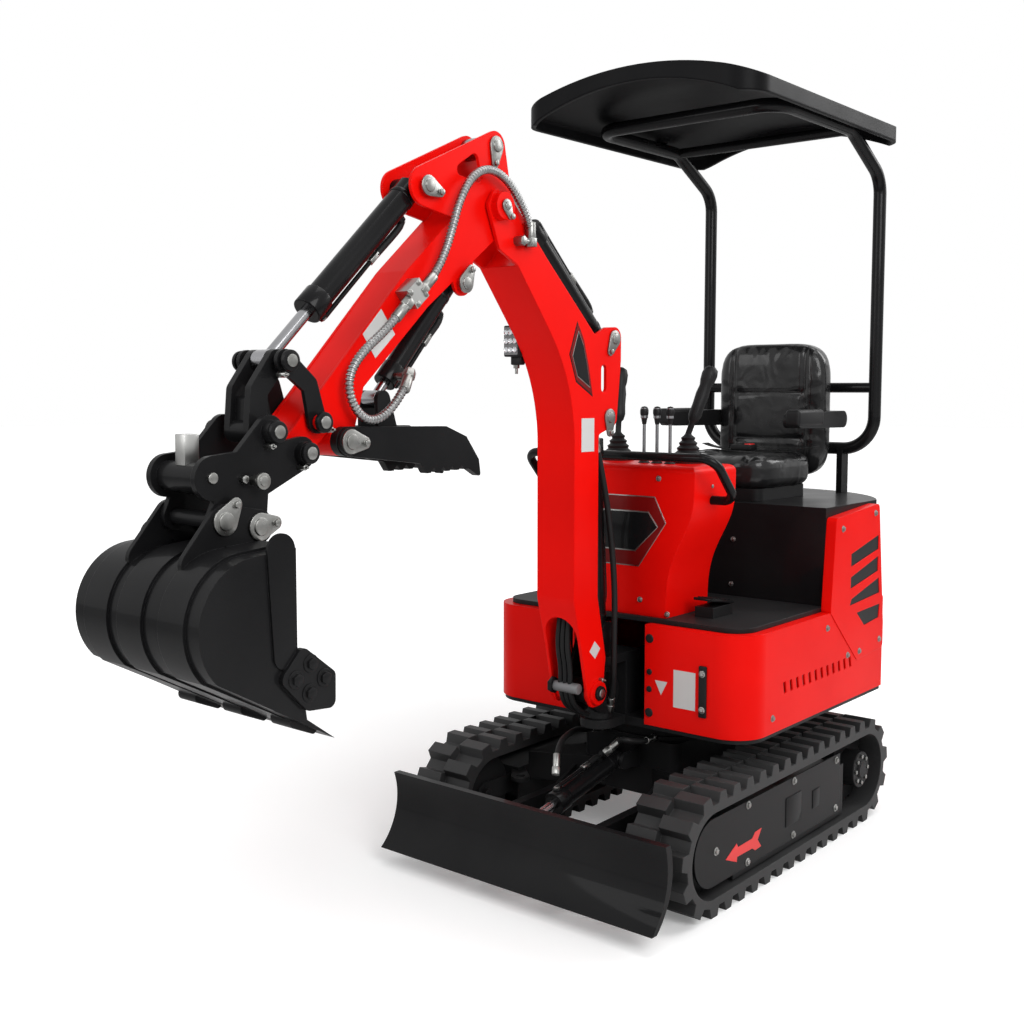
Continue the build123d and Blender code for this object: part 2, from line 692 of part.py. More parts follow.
# Floor with its mat
with BuildPart() as floor_mat:
    with BuildSketch(Plane.XY.offset(FLOOR_Z)):
        with BuildLine():
            edge = FilletPolyline(
                (-HOOD_HALF_WIDTH, HOOD_FRONT_Y - SEAT),
                (-HOOD_HALF_WIDTH, FRONT_Y + RIM),
                (HOOD_HALF_WIDTH, FRONT_Y + RIM),
                (HOOD_HALF_WIDTH, HOOD_FRONT_Y - SEAT),
                radius=FRONT_CORNER - RIM,
            )
            Line(edge @ 1, edge @ 0)
        make_face()
    extrude(amount=MAT)
keep(floor_mat, "floor_mat")

# Engine as one plain block
with BuildPart() as engine_block:
    with BuildSketch(Plane.XY.offset(DECK_Z + DECK_PLATE)):
        with Locations((0, ENGINE_Y)):
            Rectangle(ENGINE_SIZE[0], ENGINE_SIZE[1])
    extrude(amount=ENGINE_SIZE[2])
    fillet(engine_block.edges().filter_by(Axis.Z), radius=3 * PLATE)
keep(engine_block, "engine_block")

# Hood: front wall, sides and top over the engine
HOOD_END = SIDE_END_Y
with BuildPart() as hood:
    with BuildSketch(Plane.XY.offset(FLOOR_Z)):
        with Locations((0, HOOD_FRONT_Y)):
            Rectangle(2 * HOOD_HALF_WIDTH, HOOD_END - HOOD_FRONT_Y, align=(Align.CENTER, Align.MIN))
        with Locations((0, HOOD_FRONT_Y + SHEET)):
            Rectangle(
                2 * (HOOD_HALF_WIDTH - SHEET), HOOD_END - HOOD_FRONT_Y, align=(Align.CENTER, Align.MIN),
                mode=Mode.SUBTRACT,
            )
    extrude(amount=HOOD_TOP - FLOOR_Z)
    with BuildSketch(Plane.XY.offset(HOOD_TOP - 2 * SHEET)):
        with BuildLine():
            tail = ThreePointArc((HOOD_HALF_WIDTH, HOOD_END), (0, TAIL_Y - SHEET), (-HOOD_HALF_WIDTH, HOOD_END))
            Polyline(
                tail @ 1, (-HOOD_HALF_WIDTH, HOOD_FRONT_Y), (HOOD_HALF_WIDTH, HOOD_FRONT_Y), tail @ 0
            )
        make_face()
    extrude(amount=2 * SHEET)
keep(hood, "hood")

# Painted side panels with claw-shaped vents
for name, side in (("side_panel_left", 1), ("side_panel_right", -1)):
    with BuildPart() as side_panel:
        with BuildSketch(upright(side * (HOOD_HALF_WIDTH + SEAT))):
            panel_outline()
            with Locations((SIDE_END_Y, FLOOR_Z + SEAT)):
                Rectangle(2 * SIDE_END_Y, HOOD_TOP, align=(Align.CENTER, Align.MAX), mode=Mode.SUBTRACT)
        extrude(amount=side * (HOOD_INSET - SHEET))
        with BuildSketch(upright(side * (BODY_HALF_WIDTH - SHEET + SEAT))):
            panel_outline()
        extrude(amount=side * (SHEET - SEAT + PANEL_PROUD))
        with BuildSketch(upright(side * (BODY_HALF_WIDTH + PANEL_PROUD))):
            for claw in CLAWS:
                Polygon(*claw, align=None)
        extrude(amount=-side * CLAW_DEPTH, mode=Mode.SUBTRACT)
    keep(side_panel, name)

# Rear cover round the tail above the counterweight
with BuildPart() as rear_cover:
    with BuildSketch(Plane.XY.offset(FLOOR_Z + SEAT)):
        with BuildLine():
            outer = ThreePointArc(
                (HOOD_HALF_WIDTH, SIDE_END_Y + SEAT), (0, TAIL_Y - SHEET), (-HOOD_HALF_WIDTH, SIDE_END_Y + SEAT)
            )
            inner = ThreePointArc(
                (HOOD_HALF_WIDTH - 2 * PLATE, SIDE_END_Y + SEAT),
                (0, TAIL_Y - SHEET - 2 * PLATE),
                (-HOOD_HALF_WIDTH + 2 * PLATE, SIDE_END_Y + SEAT),
            )
            Line(outer @ 0, inner @ 0)
            Line(outer @ 1, inner @ 1)
        make_face()
    extrude(amount=HOOD_TOP - 2 * SHEET - FLOOR_Z - 2 * SEAT)
keep(rear_cover, "rear_cover")

# Control console, waisted towards its foot
with BuildPart() as console:
    console_plane = Plane(origin=(0, CONSOLE_FRONT_Y, 0), x_dir=(1, 0, 0), z_dir=(0, -1, 0))
    height = CONSOLE_TOP - MAT_TOP
    with BuildSketch(console_plane):
        with BuildLine():
            right = Spline(
                (CONSOLE_FOOT_HALF, MAT_TOP),
                (CONSOLE_FOOT_HALF + 20, MAT_TOP + 0.38 * height),
                (CONSOLE_TOP_HALF - 20, MAT_TOP + 0.62 * height),
                (CONSOLE_TOP_HALF, CONSOLE_TOP),
                tangents=[(0, 1), (0, 1)],
            )
            left = Spline(
                (-CONSOLE_TOP_HALF, CONSOLE_TOP),
                (-CONSOLE_TOP_HALF + 20, MAT_TOP + 0.62 * height),
                (-CONSOLE_FOOT_HALF - 20, MAT_TOP + 0.38 * height),
                (-CONSOLE_FOOT_HALF, MAT_TOP),
                tangents=[(0, -1), (0, -1)],
            )
            Line(right @ 1, left @ 0)
            Line(left @ 1, right @ 0)
        make_face()
    extrude(amount=-CONSOLE_DEPTH)
    fillet(console.faces().sort_by(Axis.Z)[-1].edges(), radius=2 * PLATE)
keep(console, "console")

# Two joysticks with their boots, leaning back and outwards
with BuildPart() as joysticks:
    for side in (1, -1):
        with BuildSketch(Plane.XY.offset(CONSOLE_TOP)):
            with Locations((side * STICK_X, STICK_Y)):
                Circle(45)
        with BuildSketch(Plane.XY.offset(CONSOLE_TOP + STICK_BOOT)):
            with Locations((side * STICK_X, STICK_Y)):
                Circle(16)
        loft()
        rise = STICK_TOP - CONSOLE_TOP - STICK_BOOT
        stick = Plane(
            origin=(side * STICK_X, STICK_Y, CONSOLE_TOP + STICK_BOOT - PLATE),
            z_dir=(side * STICK_LEAN[0], STICK_LEAN[1], rise),
        )
        with BuildSketch(stick):
            Circle(9)
        extrude(amount=rise / 2)
        with BuildSketch(stick.offset(0.4 * rise)):
            Circle(20)
        extrude(amount=0.6 * rise)
keep(joysticks, "joysticks")

# Three small levers
with BuildPart() as levers:
    for x in LEVER_X:
        with BuildSketch(Plane.XY.offset(CONSOLE_TOP)):
            with Locations((x, LEVER_Y)):
                Circle(5)
        extrude(amount=LEVER_TOP - CONSOLE_TOP)
        with BuildSketch(Plane.XY.offset(LEVER_TOP - 30)):
            with Locations((x, LEVER_Y)):
                Circle(11)
        extrude(amount=30)
keep(levers, "levers")

# Two pedals on the floor
with BuildPart() as pedals:
    for side in (1, -1):
        with BuildSketch(Plane.XY.offset(MAT_TOP)):
            with Locations((side * 240, -110)):
                Rectangle(60, 110)
        extrude(amount=30)
keep(pedals, "pedals")

# Hand rail across the console
with BuildPart() as handrail:
    side_foot = CONSOLE_TOP_HALF - 12
    with BuildLine() as rail_line:
        FilletPolyline(
            (side_foot, -150, 1060), (RAIL_HALF, -150, 1060), (RAIL_HALF, -270, RAIL_Z), (-RAIL_HALF, -270, RAIL_Z),
            (-RAIL_HALF, -150, 1060), (-side_foot, -150, 1060),
            radius=45,
        )
    with BuildSketch(Plane(origin=rail_line.line @ 0, z_dir=rail_line.line % 0)):
        Circle(RAIL_RADIUS)
    sweep()
    add(console.part, mode=Mode.SUBTRACT)
keep(handrail, "handrail")

# Seat
with BuildPart() as seat_mount:
    with BuildSketch(Plane.XY.offset(HOOD_TOP)):
        with Locations((0, SEAT_FRONT_Y + SEAT_LENGTH / 2)):
            RectangleRounded(1.6 * SEAT_HALF_WIDTH, 0.8 * SEAT_LENGTH, 30)
    extrude(amount=SEAT_Z - SEAT - HOOD_TOP)
keep(seat_mount, "seat_mount")

with BuildPart() as seat_cushion:
    with BuildSketch(Plane.XY.offset(SEAT_Z)):
        with Locations((0, SEAT_FRONT_Y + SEAT_LENGTH / 2)):
            RectangleRounded(2 * SEAT_HALF_WIDTH, SEAT_LENGTH, 60)
    extrude(amount=CUSHION)
    fillet(seat_cushion.faces().sort_by(Axis.Z)[-1].edges(), radius=30)
keep(seat_cushion, "seat_cushion")

with BuildPart() as seat_back:
    back_plane = Plane(
        origin=(0, SEAT_FRONT_Y + SEAT_LENGTH + SEAT, 0), x_dir=(1, 0, 0), z_dir=(0, 1, 0)
    )
    with BuildSketch(back_plane):
        with Locations((0, -(BACK_TOP + SEAT_Z) / 2)):
            RectangleRounded(1.9 * SEAT_HALF_WIDTH, BACK_TOP - SEAT_Z, 80)
    extrude(amount=BACK_THICKNESS)
    fillet(seat_back.faces().sort_by(Axis.Y)[0].edges(), radius=25)
keep(seat_back, "seat_back")

with BuildPart() as armrests:
    for side in (1, -1):
        rest_x = side * (0.95 * SEAT_HALF_WIDTH + SEAT)
        with BuildSketch(upright(rest_x)):
            bar((SEAT_FRONT_Y + SEAT_LENGTH + BACK_THICKNESS / 2, 1275), 28, (SEAT_FRONT_Y + 150, 1275), 24)
        extrude(amount=side * 55)
keep(armrests, "armrests")

# Canopy hoop: two posts joined below, bent forward into a top loop
with BuildPart() as canopy_frame:
    with BuildLine() as hoop:
        FilletPolyline(
            (0, POST_Y, POST_FOOT_Z), (POST_X, POST_Y, POST_FOOT_Z), (POST_X, POST_Y, POST_TOP_Z),
            (POST_X, LOOP_REAR_Y, LOOP_Z), (POST_X, LOOP_FRONT_Y, LOOP_Z), (0, LOOP_FRONT_Y, LOOP_Z),
            radius=[110, 90, 90, 80],
        )
    with BuildSketch(Plane(origin=hoop.line @ 0, z_dir=hoop.line % 0)):
        Circle(POST_RADIUS)
    sweep()
    mirror(about=Plane.YZ)
    with BuildSketch(upright(0)):
        with Locations((POST_Y, 1380)):
            Circle(POST_RADIUS - 4)
    extrude(amount=POST_X, both=True)
    with BuildSketch(upright(0)):
        with Locations((LOOP_REAR_Y, LOOP_Z)):
            Circle(POST_RADIUS - 4)
    extrude(amount=POST_X, both=True)
    for side in (1, -1):
        with BuildSketch(upright(side * 200)):
            with Locations((POST_Y, HOOD_TOP)):
                Rectangle(50, POST_FOOT_Z - HOOD_TOP, align=(Align.CENTER, Align.MIN))
        extrude(amount=side * 2 * PLATE)
keep(canopy_frame, "canopy_frame")


def roof_block(inset, foot_z):
    """Make the space under the roof's arch, inset and with round corners in plan, down to a foot."""
    half = ROOF_HALF_WIDTH - inset
    edge_z = ROOF_RIM_Z + ROOF_RIM - inset
    with BuildPart() as block:
        with BuildSketch(Plane.XY.offset(foot_z)):
            outline(
                [
                    (-half, ROOF_FRONT_Y + inset), (half, ROOF_FRONT_Y + inset),
                    (half, ROOF_REAR_Y - inset), (-half, ROOF_REAR_Y - inset),
                ],
                ROOF_CORNER - inset,
            )
        extrude(amount=ROOF_CROWN_Z - foot_z + RIM)
        with BuildSketch(roof_section):
            with BuildLine():
                arch = ThreePointArc((-half - RIM, edge_z - PLATE), (0, ROOF_CROWN_Z - inset), (half + RIM, edge_z - PLATE))
                Polyline(
                    arch @ 1, (half + RIM, ROOF_CROWN_Z + 2 * RIM), (-half - RIM, ROOF_CROWN_Z + 2 * RIM), arch @ 0
                )
            make_face()
        extrude(amount=-roof_length, mode=Mode.SUBTRACT)
    return block.part


# Canopy roof: an arched shell with a turned-down rim, arched at the front and rear
roof_section = Plane(origin=(0, ROOF_FRONT_Y - RIM, 0), x_dir=(1, 0, 0), z_dir=(0, -1, 0))
roof_length = ROOF_REAR_Y - ROOF_FRONT_Y + 2 * RIM
roof_outside = roof_block(0, ROOF_RIM_Z)
roof_inside = roof_block(ROOF_SHELL, ROOF_RIM_Z - RIM)
with BuildPart() as canopy_roof:
    add(roof_outside)
    add(roof_inside, mode=Mode.SUBTRACT)
    span = ROOF_HALF_WIDTH - 2 * ROOF_SHELL
    with BuildSketch(roof_section):
        with BuildLine():
            arch = ThreePointArc(
                (-span, ROOF_RIM_Z - PLATE), (0, ROOF_CROWN_Z - ROOF_RIM), (span, ROOF_RIM_Z - PLATE)
            )
            Line(arch @ 1, arch @ 0)
        make_face()
    extrude(amount=-roof_length, mode=Mode.SUBTRACT)
    for x in (POST_X, -POST_X):
        for y in (LOOP_FRONT_Y + 120, LOOP_REAR_Y - 100):
            with BuildSketch(Plane.XY.offset(LOOP_Z + POST_RADIUS + SEAT)):
                with Locations((x, y)):
                    Circle(POST_RADIUS)
            extrude(amount=ROOF_RIM_Z + ROOF_RIM + ROOF_PAD - LOOP_Z - POST_RADIUS - SEAT)
keep(canopy_roof, "canopy_roof")

# Swing bracket: hub on the vertical pin, knuckle for the boom, lugs for its cylinder
with BuildPart() as swing_bracket:
    hub_z = DECK_Z + DECK_PLATE + SEAT
    with BuildSketch(Plane.XY.offset(hub_z)):
        with Locations((0, SWING_Y)):
            Circle(SWING_HUB)
    extrude(amount=SWING_LUG_Z - SEAT - hub_z)
    for side in (1, -1):
        with BuildSketch(upright(side * (KNUCKLE_HALF - 2 * PLATE))):
            bar(BOOM_FOOT, BOSS, (SWING_Y - SWING_HUB / 2, (hub_z + SWING_LUG_Z) / 2), BRACKET_BACK)
        extrude(amount=side * 2 * PLATE)
        with BuildSketch(upright(side * (KNUCKLE_HALF - PLATE))):
            bar(BOOM_CYLINDER_BASE, 26, shifted(BOOM_FOOT, 40, 40), 30)
        extrude(amount=side * PLATE)
    eye_tube(BOOM_FOOT, BOSS, KNUCKLE_HALF)
    stub(BOOM_CYLINDER_BASE, PIN, -KNUCKLE_HALF, KNUCKLE_HALF)
    with BuildSketch(Plane.XY.offset(hub_z)):
        with Locations((0, SWING_Y)):
            Circle(SWING_PIN + FIT)
    extrude(amount=SWING_LUG_Z - hub_z, mode=Mode.SUBTRACT)
    with BuildSketch(Plane.XY.offset(SWING_LUG_Z - SEAT)):
        with Locations((0, SWING_Y)):
            Circle(SWING_HUB + PLATE + RUNNING)
        with Locations((0, SWING_Y)):
            Rectangle(4 * SWING_HUB, 200, align=(Align.CENTER, Align.MIN))
    extrude(amount=DECK_PLATE + PLATE + 2 * SEAT, mode=Mode.SUBTRACT)
    cross_bore(BOOM_FOOT, PIN + FIT, BOOM_HALF_WIDTH)
keep(swing_bracket, "swing_bracket")


def boom_outline():
    """Draw the boom's side outline in the open sketch."""
    front = BOOM_KNEE[0] - BOOM_DEPTH / 2
    back = BOOM_KNEE[0] + BOOM_DEPTH / 2
    corners = [
        (shifted(BOOM_FOOT, 26, -40), 20),
        (shifted(BOOM_FOOT, 43, 94), 30),
        ((back, BOOM_FOOT[1] + BOOM_HEEL), 60),
        ((back, BOOM_KNEE[1]), 14),
        (shifted(BOOM_CYLINDER_EYE, 36, -20), 24),
        (shifted(ARM_CYLINDER_BASE, 34, -60), 20),
        (shifted(ARM_CYLINDER_BASE, 34, 34), 30),
        (shifted(ARM_CYLINDER_BASE, -40, 30), 12),
        (shifted(ARM_CYLINDER_BASE, -90, 8), 12),
        (shifted(BOOM_TIP, 190, -112), 12),
        (shifted(BOOM_TIP, 40, 30), 26),
        (shifted(BOOM_TIP, -20, 42), 20),
        (shifted(BOOM_TIP, -44, 0), 20),
        (shifted(BOOM_TIP, 0, -104), 12),
        (shifted(BOOM_TIP, 70, -136), 12),
        ((front, BOOM_KNEE[1] + 143), BOOM_BEND),
        ((front, BOOM_FOOT[1] + BOOM_HEEL), 60),
        (shifted(BOOM_FOOT, -72, 134), 30),
        (shifted(BOOM_FOOT, -42, 0), 20),
        (shifted(BOOM_FOOT, -26, -40), 20),
    ]
    outline([place for place, radius in corners], [radius for place, radius in corners])


# Boom: a closed box, forked at its foot, its tip and the lugs of the cylinders
with BuildPart() as boom:
    with BuildSketch(upright(0)):
        boom_outline()
    extrude(amount=BOOM_HALF_WIDTH, both=True)
    lug_back = BOOM_KNEE[0] + BOOM_DEPTH / 2
    with BuildSketch(upright(0)):
        with Locations(BOOM_FOOT):
            Rectangle(BOOM_HEEL, 2 * BOOM_ARCH)
        with Locations(BOOM_TIP):
            Circle(1.4 * BOOM_DEPTH)
        Polygon(
            (lug_back, BOOM_KNEE[1] - 60), (lug_back, BOOM_KNEE[1] + 30), shifted(ARM_CYLINDER_BASE, -100, -100),
            shifted(ARM_CYLINDER_BASE, -100, 10), shifted(ARM_CYLINDER_BASE, -60, 90),
            shifted(ARM_CYLINDER_BASE, 120, 90), shifted(ARM_CYLINDER_BASE, 120, -320),
            align=None,
        )
    extrude(amount=BOOM_GAP, both=True, mode=Mode.SUBTRACT)
    with BuildSketch(Plane.XZ.offset(-BOOM_FOOT[0] - BOOM_HEEL)):
        with Locations((0, BOOM_FOOT[1] + BOOM_ARCH - SIDE_PLAY)):
            Circle(BOOM_GAP)
    extrude(amount=2 * BOOM_HEEL, mode=Mode.SUBTRACT)
    with BuildSketch(upright(0)):
        with Locations(shifted(ARM_CYLINDER_BASE, -48, -110)):
            SlotOverall(75, 24, rotation=90)
    extrude(amount=BOOM_HALF_WIDTH, both=True, mode=Mode.SUBTRACT)
    for side in (1, -1):
        stub(BOOM_TIP, BOSS, side * BOOM_GAP, side * (BOOM_HALF_WIDTH + 2 * PLATE))
        stub(BOOM_FOOT, BOSS, side * (KNUCKLE_HALF + SIDE_PLAY), side * (BOOM_HALF_WIDTH + PLATE))
    stub(BOOM_FOOT, PIN, -BOOM_HALF_WIDTH, BOOM_HALF_WIDTH)
    stub(BOOM_TIP, PIN, -BOOM_HALF_WIDTH, BOOM_HALF_WIDTH)
    stub(ARM_CYLINDER_BASE, PIN, -BOOM_HALF_WIDTH, BOOM_HALF_WIDTH)
keep(boom, "boom")

# Work lamp on the boom's far side
with BuildPart() as work_lamp:
    with BuildSketch(Plane.XZ.offset(585)):
        with Locations((-BOOM_HALF_WIDTH - SEAT, 1490)):
            Rectangle(55, 80, align=(Align.MAX, Align.CENTER))
    extrude(amount=45)
keep(work_lamp, "work_lamp")

boom_spans = reaches(BOOM_CYLINDER_BASE, BOOM_CYLINDER_EYE, BOOM_FOOT, BOOM_UP, BOOM_DOWN)
boom_cylinder = (BOOM_CYLINDER_BASE, BOOM_CYLINDER_EYE, BOOM_CYLINDER, boom_spans)
make_barrel("boom_cylinder_barrel", *boom_cylinder, KNUCKLE_HALF - PLATE - SIDE_PLAY, PIN)
make_rod("boom_cylinder_rod", *boom_cylinder, BOOM_GAP - SIDE_PLAY, PIN)

arm_spans = reaches(ARM_CYLINDER_BASE, ARM_TAIL, BOOM_TIP, ARM_OUT, ARM_IN)
arm_cylinder = (ARM_CYLINDER_BASE, ARM_TAIL, ARM_CYLINDER, arm_spans)
make_barrel("arm_cylinder_barrel", *arm_cylinder, BOOM_GAP - SIDE_PLAY, PIN)
make_rod("arm_cylinder_rod", *arm_cylinder, ARM_GAP - SIDE_PLAY, PIN)


def on_arm(share, rise):
    """The (y, z) place at a share of the arm's length, raised off the line of its pins."""
    length = distance(BOOM_TIP, ARM_TIP)
    across = ((ARM_TIP[1] - BOOM_TIP[1]) / length, -(ARM_TIP[0] - BOOM_TIP[0]) / length)
    return shifted(between(BOOM_TIP, ARM_TIP, share), rise * across[0], rise * across[1])


def arm_outline():
    """Draw the arm's side outline in the open sketch."""
    bar(BOOM_TIP, 66, ARM_TAIL, 36)
    bar(BOOM_TIP, 66, BUCKET_CYLINDER_BASE, 46)
    bar(ARM_TAIL, 36, BUCKET_CYLINDER_BASE, 46)
    bar(on_arm(0, 4), 66, on_arm(0.4, 22), 52)
    bar(on_arm(0.4, 22), 52, ARM_TIP, 34)
    bar(on_arm(0.75, 0), 40, THUMB_PIVOT, 32)
    bar(on_arm(0.2, 0), 50, THUMB_CYLINDER_BASE, 30)


# Arm: two side plates with a window at the tail and the box between them
with BuildPart() as arm:
    for side in (1, -1):
        with BuildSketch(upright(side * ARM_GAP)):
            arm_outline()
            window = [
                shifted(BUCKET_CYLINDER_BASE, 84, 45), shifted(ARM_TAIL, -45, -99), shifted(ARM_TAIL, -70, -22),
            ]
            outline(window, 14, Mode.SUBTRACT)
        extrude(amount=side * ARM_PLATE)
    with BuildSketch(upright(0)):
        bar(on_arm(0.02, 14), 56, on_arm(0.4, 25), 49)
        bar(on_arm(0.4, 25), 49, on_arm(0.97, 0), 33)
    extrude(amount=ARM_GAP, both=True)
    for place in (ARM_TIP, THUMB_PIVOT):
        eye_tube(place, 32, ARM_HALF_WIDTH)
    eye_tube(BOOM_TIP, BOSS, BOOM_GAP - SIDE_PLAY)
    for place in (BUCKET_CYLINDER_BASE, THUMB_CYLINDER_BASE):
        stub(place, PIN, -ARM_HALF_WIDTH - PLATE, ARM_HALF_WIDTH + PLATE)
    stub(ROCKER_PIVOT, PIN, -HITCH_HALF, HITCH_HALF)
    stub(THUMB_PIVOT, PIN, -HITCH_HALF, HITCH_HALF)
    cross_bore(BOOM_TIP, PIN + FIT, BOOM_HALF_WIDTH)
    cross_bore(ARM_TIP, PIN + FIT, BOOM_HALF_WIDTH)
keep(arm, "arm")

# Valve block on the arm's near side
with BuildPart() as valve_block:
    with BuildSketch(upright(ARM_HALF_WIDTH)):
        with Locations((-1175, 1590)):
            Rectangle(50, 50, rotation=40)
    extrude(amount=40)
keep(valve_block, "valve_block")

thumb_spans = reaches(THUMB_CYLINDER_BASE, THUMB_CYLINDER_EYE, THUMB_PIVOT, THUMB_CLOSED, 0)
thumb_cylinder = (THUMB_CYLINDER_BASE, THUMB_CYLINDER_EYE, THUMB_CYLINDER, thumb_spans)
make_barrel("thumb_cylinder_barrel", *thumb_cylinder, ARM_GAP - SIDE_PLAY, PIN)
make_rod("thumb_cylinder_rod", *thumb_cylinder, ARM_GAP / 2, PIN / 2)

BUCKET_STROKE = (490.0, 711.0)
bucket_cylinder = (BUCKET_CYLINDER_BASE, ROCKER_TOP, BUCKET_CYLINDER, BUCKET_STROKE)
make_barrel("bucket_cylinder_barrel", *bucket_cylinder, ARM_GAP - SIDE_PLAY, PIN)
ROD_EYE_HALF = 20.0
make_rod("bucket_cylinder_rod", *bucket_cylinder, ROD_EYE_HALF, LINKAGE_PIN)

# Rocker links, one each side of the arm, with the stub pins of the bucket link
LINK_OUTER = ARM_HALF_WIDTH - PLATE
ROCKER_X = ARM_HALF_WIDTH + RUNNING
with BuildPart() as rocker_links:
    bend = shifted(between(ROCKER_PIVOT, ROCKER_TOP, 0.5), 22, 14)
    for side in (1, -1):
        with BuildSketch(upright(side * ROCKER_X)):
            bar(ROCKER_PIVOT, LINKAGE_BOSS, bend, LINKAGE_BOSS - 4)
            bar(bend, LINKAGE_BOSS - 4, ROCKER_TOP, LINKAGE_BOSS)
        extrude(amount=side * ROCKER_PLATE)
        stub(ROCKER_TOP, LINKAGE_PIN, side * (ROD_EYE_HALF + SIDE_PLAY), side * (ROCKER_X + 2 * ROCKER_PLATE))
    cross_bore(ROCKER_PIVOT, PIN + FIT, HITCH_HALF)
keep(rocker_links, "rocker_links")

# Bucket link: two curved cheeks and the tube at its foot
with BuildPart() as bucket_link:
    bend = shifted(between(ROCKER_TOP, LINK_FOOT, 0.5), -22, 10)
    for side in (1, -1):
        with BuildSketch(upright(side * (ROD_EYE_HALF + 2 * SIDE_PLAY))):
            bar(ROCKER_TOP, LINKAGE_BOSS, bend, LINKAGE_BOSS - 2)
            bar(bend, LINKAGE_BOSS - 2, LINK_FOOT, LINKAGE_BOSS)
        extrude(amount=side * (LINK_OUTER - ROD_EYE_HALF - 2 * SIDE_PLAY))
    with BuildSketch(upright(0)):
        bar(between(bend, LINK_FOOT, 0.25), PLATE, LINK_FOOT, PLATE)
    extrude(amount=LINK_OUTER, both=True)
    eye_tube(LINK_FOOT, LINKAGE_BOSS, LINK_OUTER)
    cross_bore(ROCKER_TOP, LINKAGE_PIN + FIT, HITCH_HALF)
    cross_bore(LINK_FOOT, LINKAGE_PIN + FIT, HITCH_HALF)
keep(bucket_link, "bucket_link")

# Quick hitch: two scalloped plates with the arm pin, a nose block and pin heads
with BuildPart() as quick_hitch:
    for side in (1, -1):
        with BuildSketch(upright(side * HITCH_GAP)):
            heart = shifted(HITCH_NOSE, 82, -2)
            for place in (ARM_TIP, LINK_FOOT):
                bar(heart, HITCH_HEART, place, BOSS)
            for place in (BUCKET_PIN_FRONT, BUCKET_PIN_REAR):
                bar(heart, HITCH_HEART, place, BOSS - RUNNING)
            bar(heart, HITCH_HEART, HITCH_NOSE, HITCH_NOSE_RADIUS)
        extrude(amount=side * HITCH_PLATE)
        stub(LINK_FOOT, LINKAGE_BOSS, side * HITCH_HALF, side * (HITCH_HALF + 2 * PLATE))
        stub(ARM_TIP, LINKAGE_BOSS, side * (ARM_HALF_WIDTH + SIDE_PLAY), side * (HITCH_HALF + 2 * PLATE))
    stub(ARM_TIP, PIN, -HITCH_GAP, HITCH_GAP)
    with BuildSketch(upright(0)):
        bar(HITCH_NOSE, 30, shifted(BUCKET_PIN_REAR, 0, 76), 26)
    extrude(amount=HITCH_GAP, both=True)
    for place in (BUCKET_PIN_FRONT, BUCKET_PIN_REAR):
        cross_bore(place, PIN + FIT, BUCKET_WIDTH)
keep(quick_hitch, "quick_hitch")


def bucket_section(inset, reach):
    """Draw the bucket's side section, inset and with its mouth moved out by a reach, in the open sketch."""
    radius = BUCKET_RADIUS - inset
    heel = shifted(BUCKET_EDGE, -73, 53)
    with BuildLine() as border:
        crown = Line(shifted(BUCKET_LIP, reach, -inset), shifted(BUCKET_CENTRE, -10, radius))
        roll = ThreePointArc(
            crown @ 1, shifted(BUCKET_CENTRE, -radius, 0), shifted(BUCKET_CENTRE, -0.72 * radius, -0.69 * radius)
        )
        if reach > 0:
            Polyline(roll @ 1, heel, shifted(heel, reach, 0), crown @ 0)
        else:
            Polyline(roll @ 1, BUCKET_EDGE, heel, shifted(heel, -22, 150), crown @ 0)
    make_face(border.edges())


# Bucket: rolled shell with wear straps, side cutters, ears and cutting edge
with BuildPart() as bucket:
    half = BUCKET_WIDTH / 2
    with BuildSketch(upright(0)):
        bucket_section(0, 0)
    extrude(amount=half, both=True)
    for strap_x in (-half + 4 * PLATE, -5 * PLATE, half - 12 * PLATE):
        with BuildSketch(upright(strap_x)):
            bucket_section(-BUCKET_STRAP, 0)
        extrude(amount=8 * PLATE)
    floor_start = shifted(BUCKET_CENTRE, -0.72 * BUCKET_RADIUS, -0.69 * BUCKET_RADIUS)
    for lug_x in (-half + 2 * PLATE, -3 * PLATE, half - 8 * PLATE):
        with BuildSketch(upright(lug_x)):
            bar(between(floor_start, BUCKET_EDGE, 0.70), 14, between(floor_start, BUCKET_EDGE, 0.86), 9)
        extrude(amount=6 * PLATE)
    for side in (1, -1):
        with BuildSketch(upright(side * (half - SIDE_PLAY))):
            bar(shifted(BUCKET_LIP, -40, -2), 34, shifted(BUCKET_EDGE, -130, 190), 26)
        extrude(amount=side * SHEET)
        with BuildSketch(upright(side * (half - SIDE_PLAY))):
            outline(
                [
                    shifted(BUCKET_EDGE, -92, 206), shifted(BUCKET_EDGE, -8, 140), shifted(BUCKET_EDGE, -9, 68),
                    shifted(BUCKET_EDGE, -82, 74), shifted(BUCKET_EDGE, -150, 145),
                ],
                16,
            )
        extrude(amount=side * SIDE_CUTTER)
        with BuildSketch(upright(side * (HITCH_HALF + SIDE_PLAY))):
            bar(BUCKET_PIN_FRONT, BOSS, shifted(BUCKET_CENTRE, -60, BUCKET_RADIUS - 20), 30)
            bar(BUCKET_PIN_FRONT, BOSS, BUCKET_PIN_REAR, BOSS)
            bar(BUCKET_PIN_REAR, BOSS, shifted(BUCKET_CENTRE, 50, BUCKET_RADIUS), 20)
            bar(BUCKET_PIN_FRONT, BOSS, shifted(BUCKET_CENTRE, 50, BUCKET_RADIUS), 20)
        extrude(amount=side * BUCKET_EAR)
    with BuildSketch(upright(0)):
        bucket_section(BUCKET_WALL, BUCKET_RADIUS)
    extrude(amount=half - BUCKET_WALL, both=True, mode=Mode.SUBTRACT)
    eye_tube(shifted(BUCKET_LIP, -20, -12), PIN, half)
    for place in (BUCKET_PIN_FRONT, BUCKET_PIN_REAR):
        stub(place, PIN, -HITCH_HALF - BUCKET_EAR, HITCH_HALF + BUCKET_EAR)
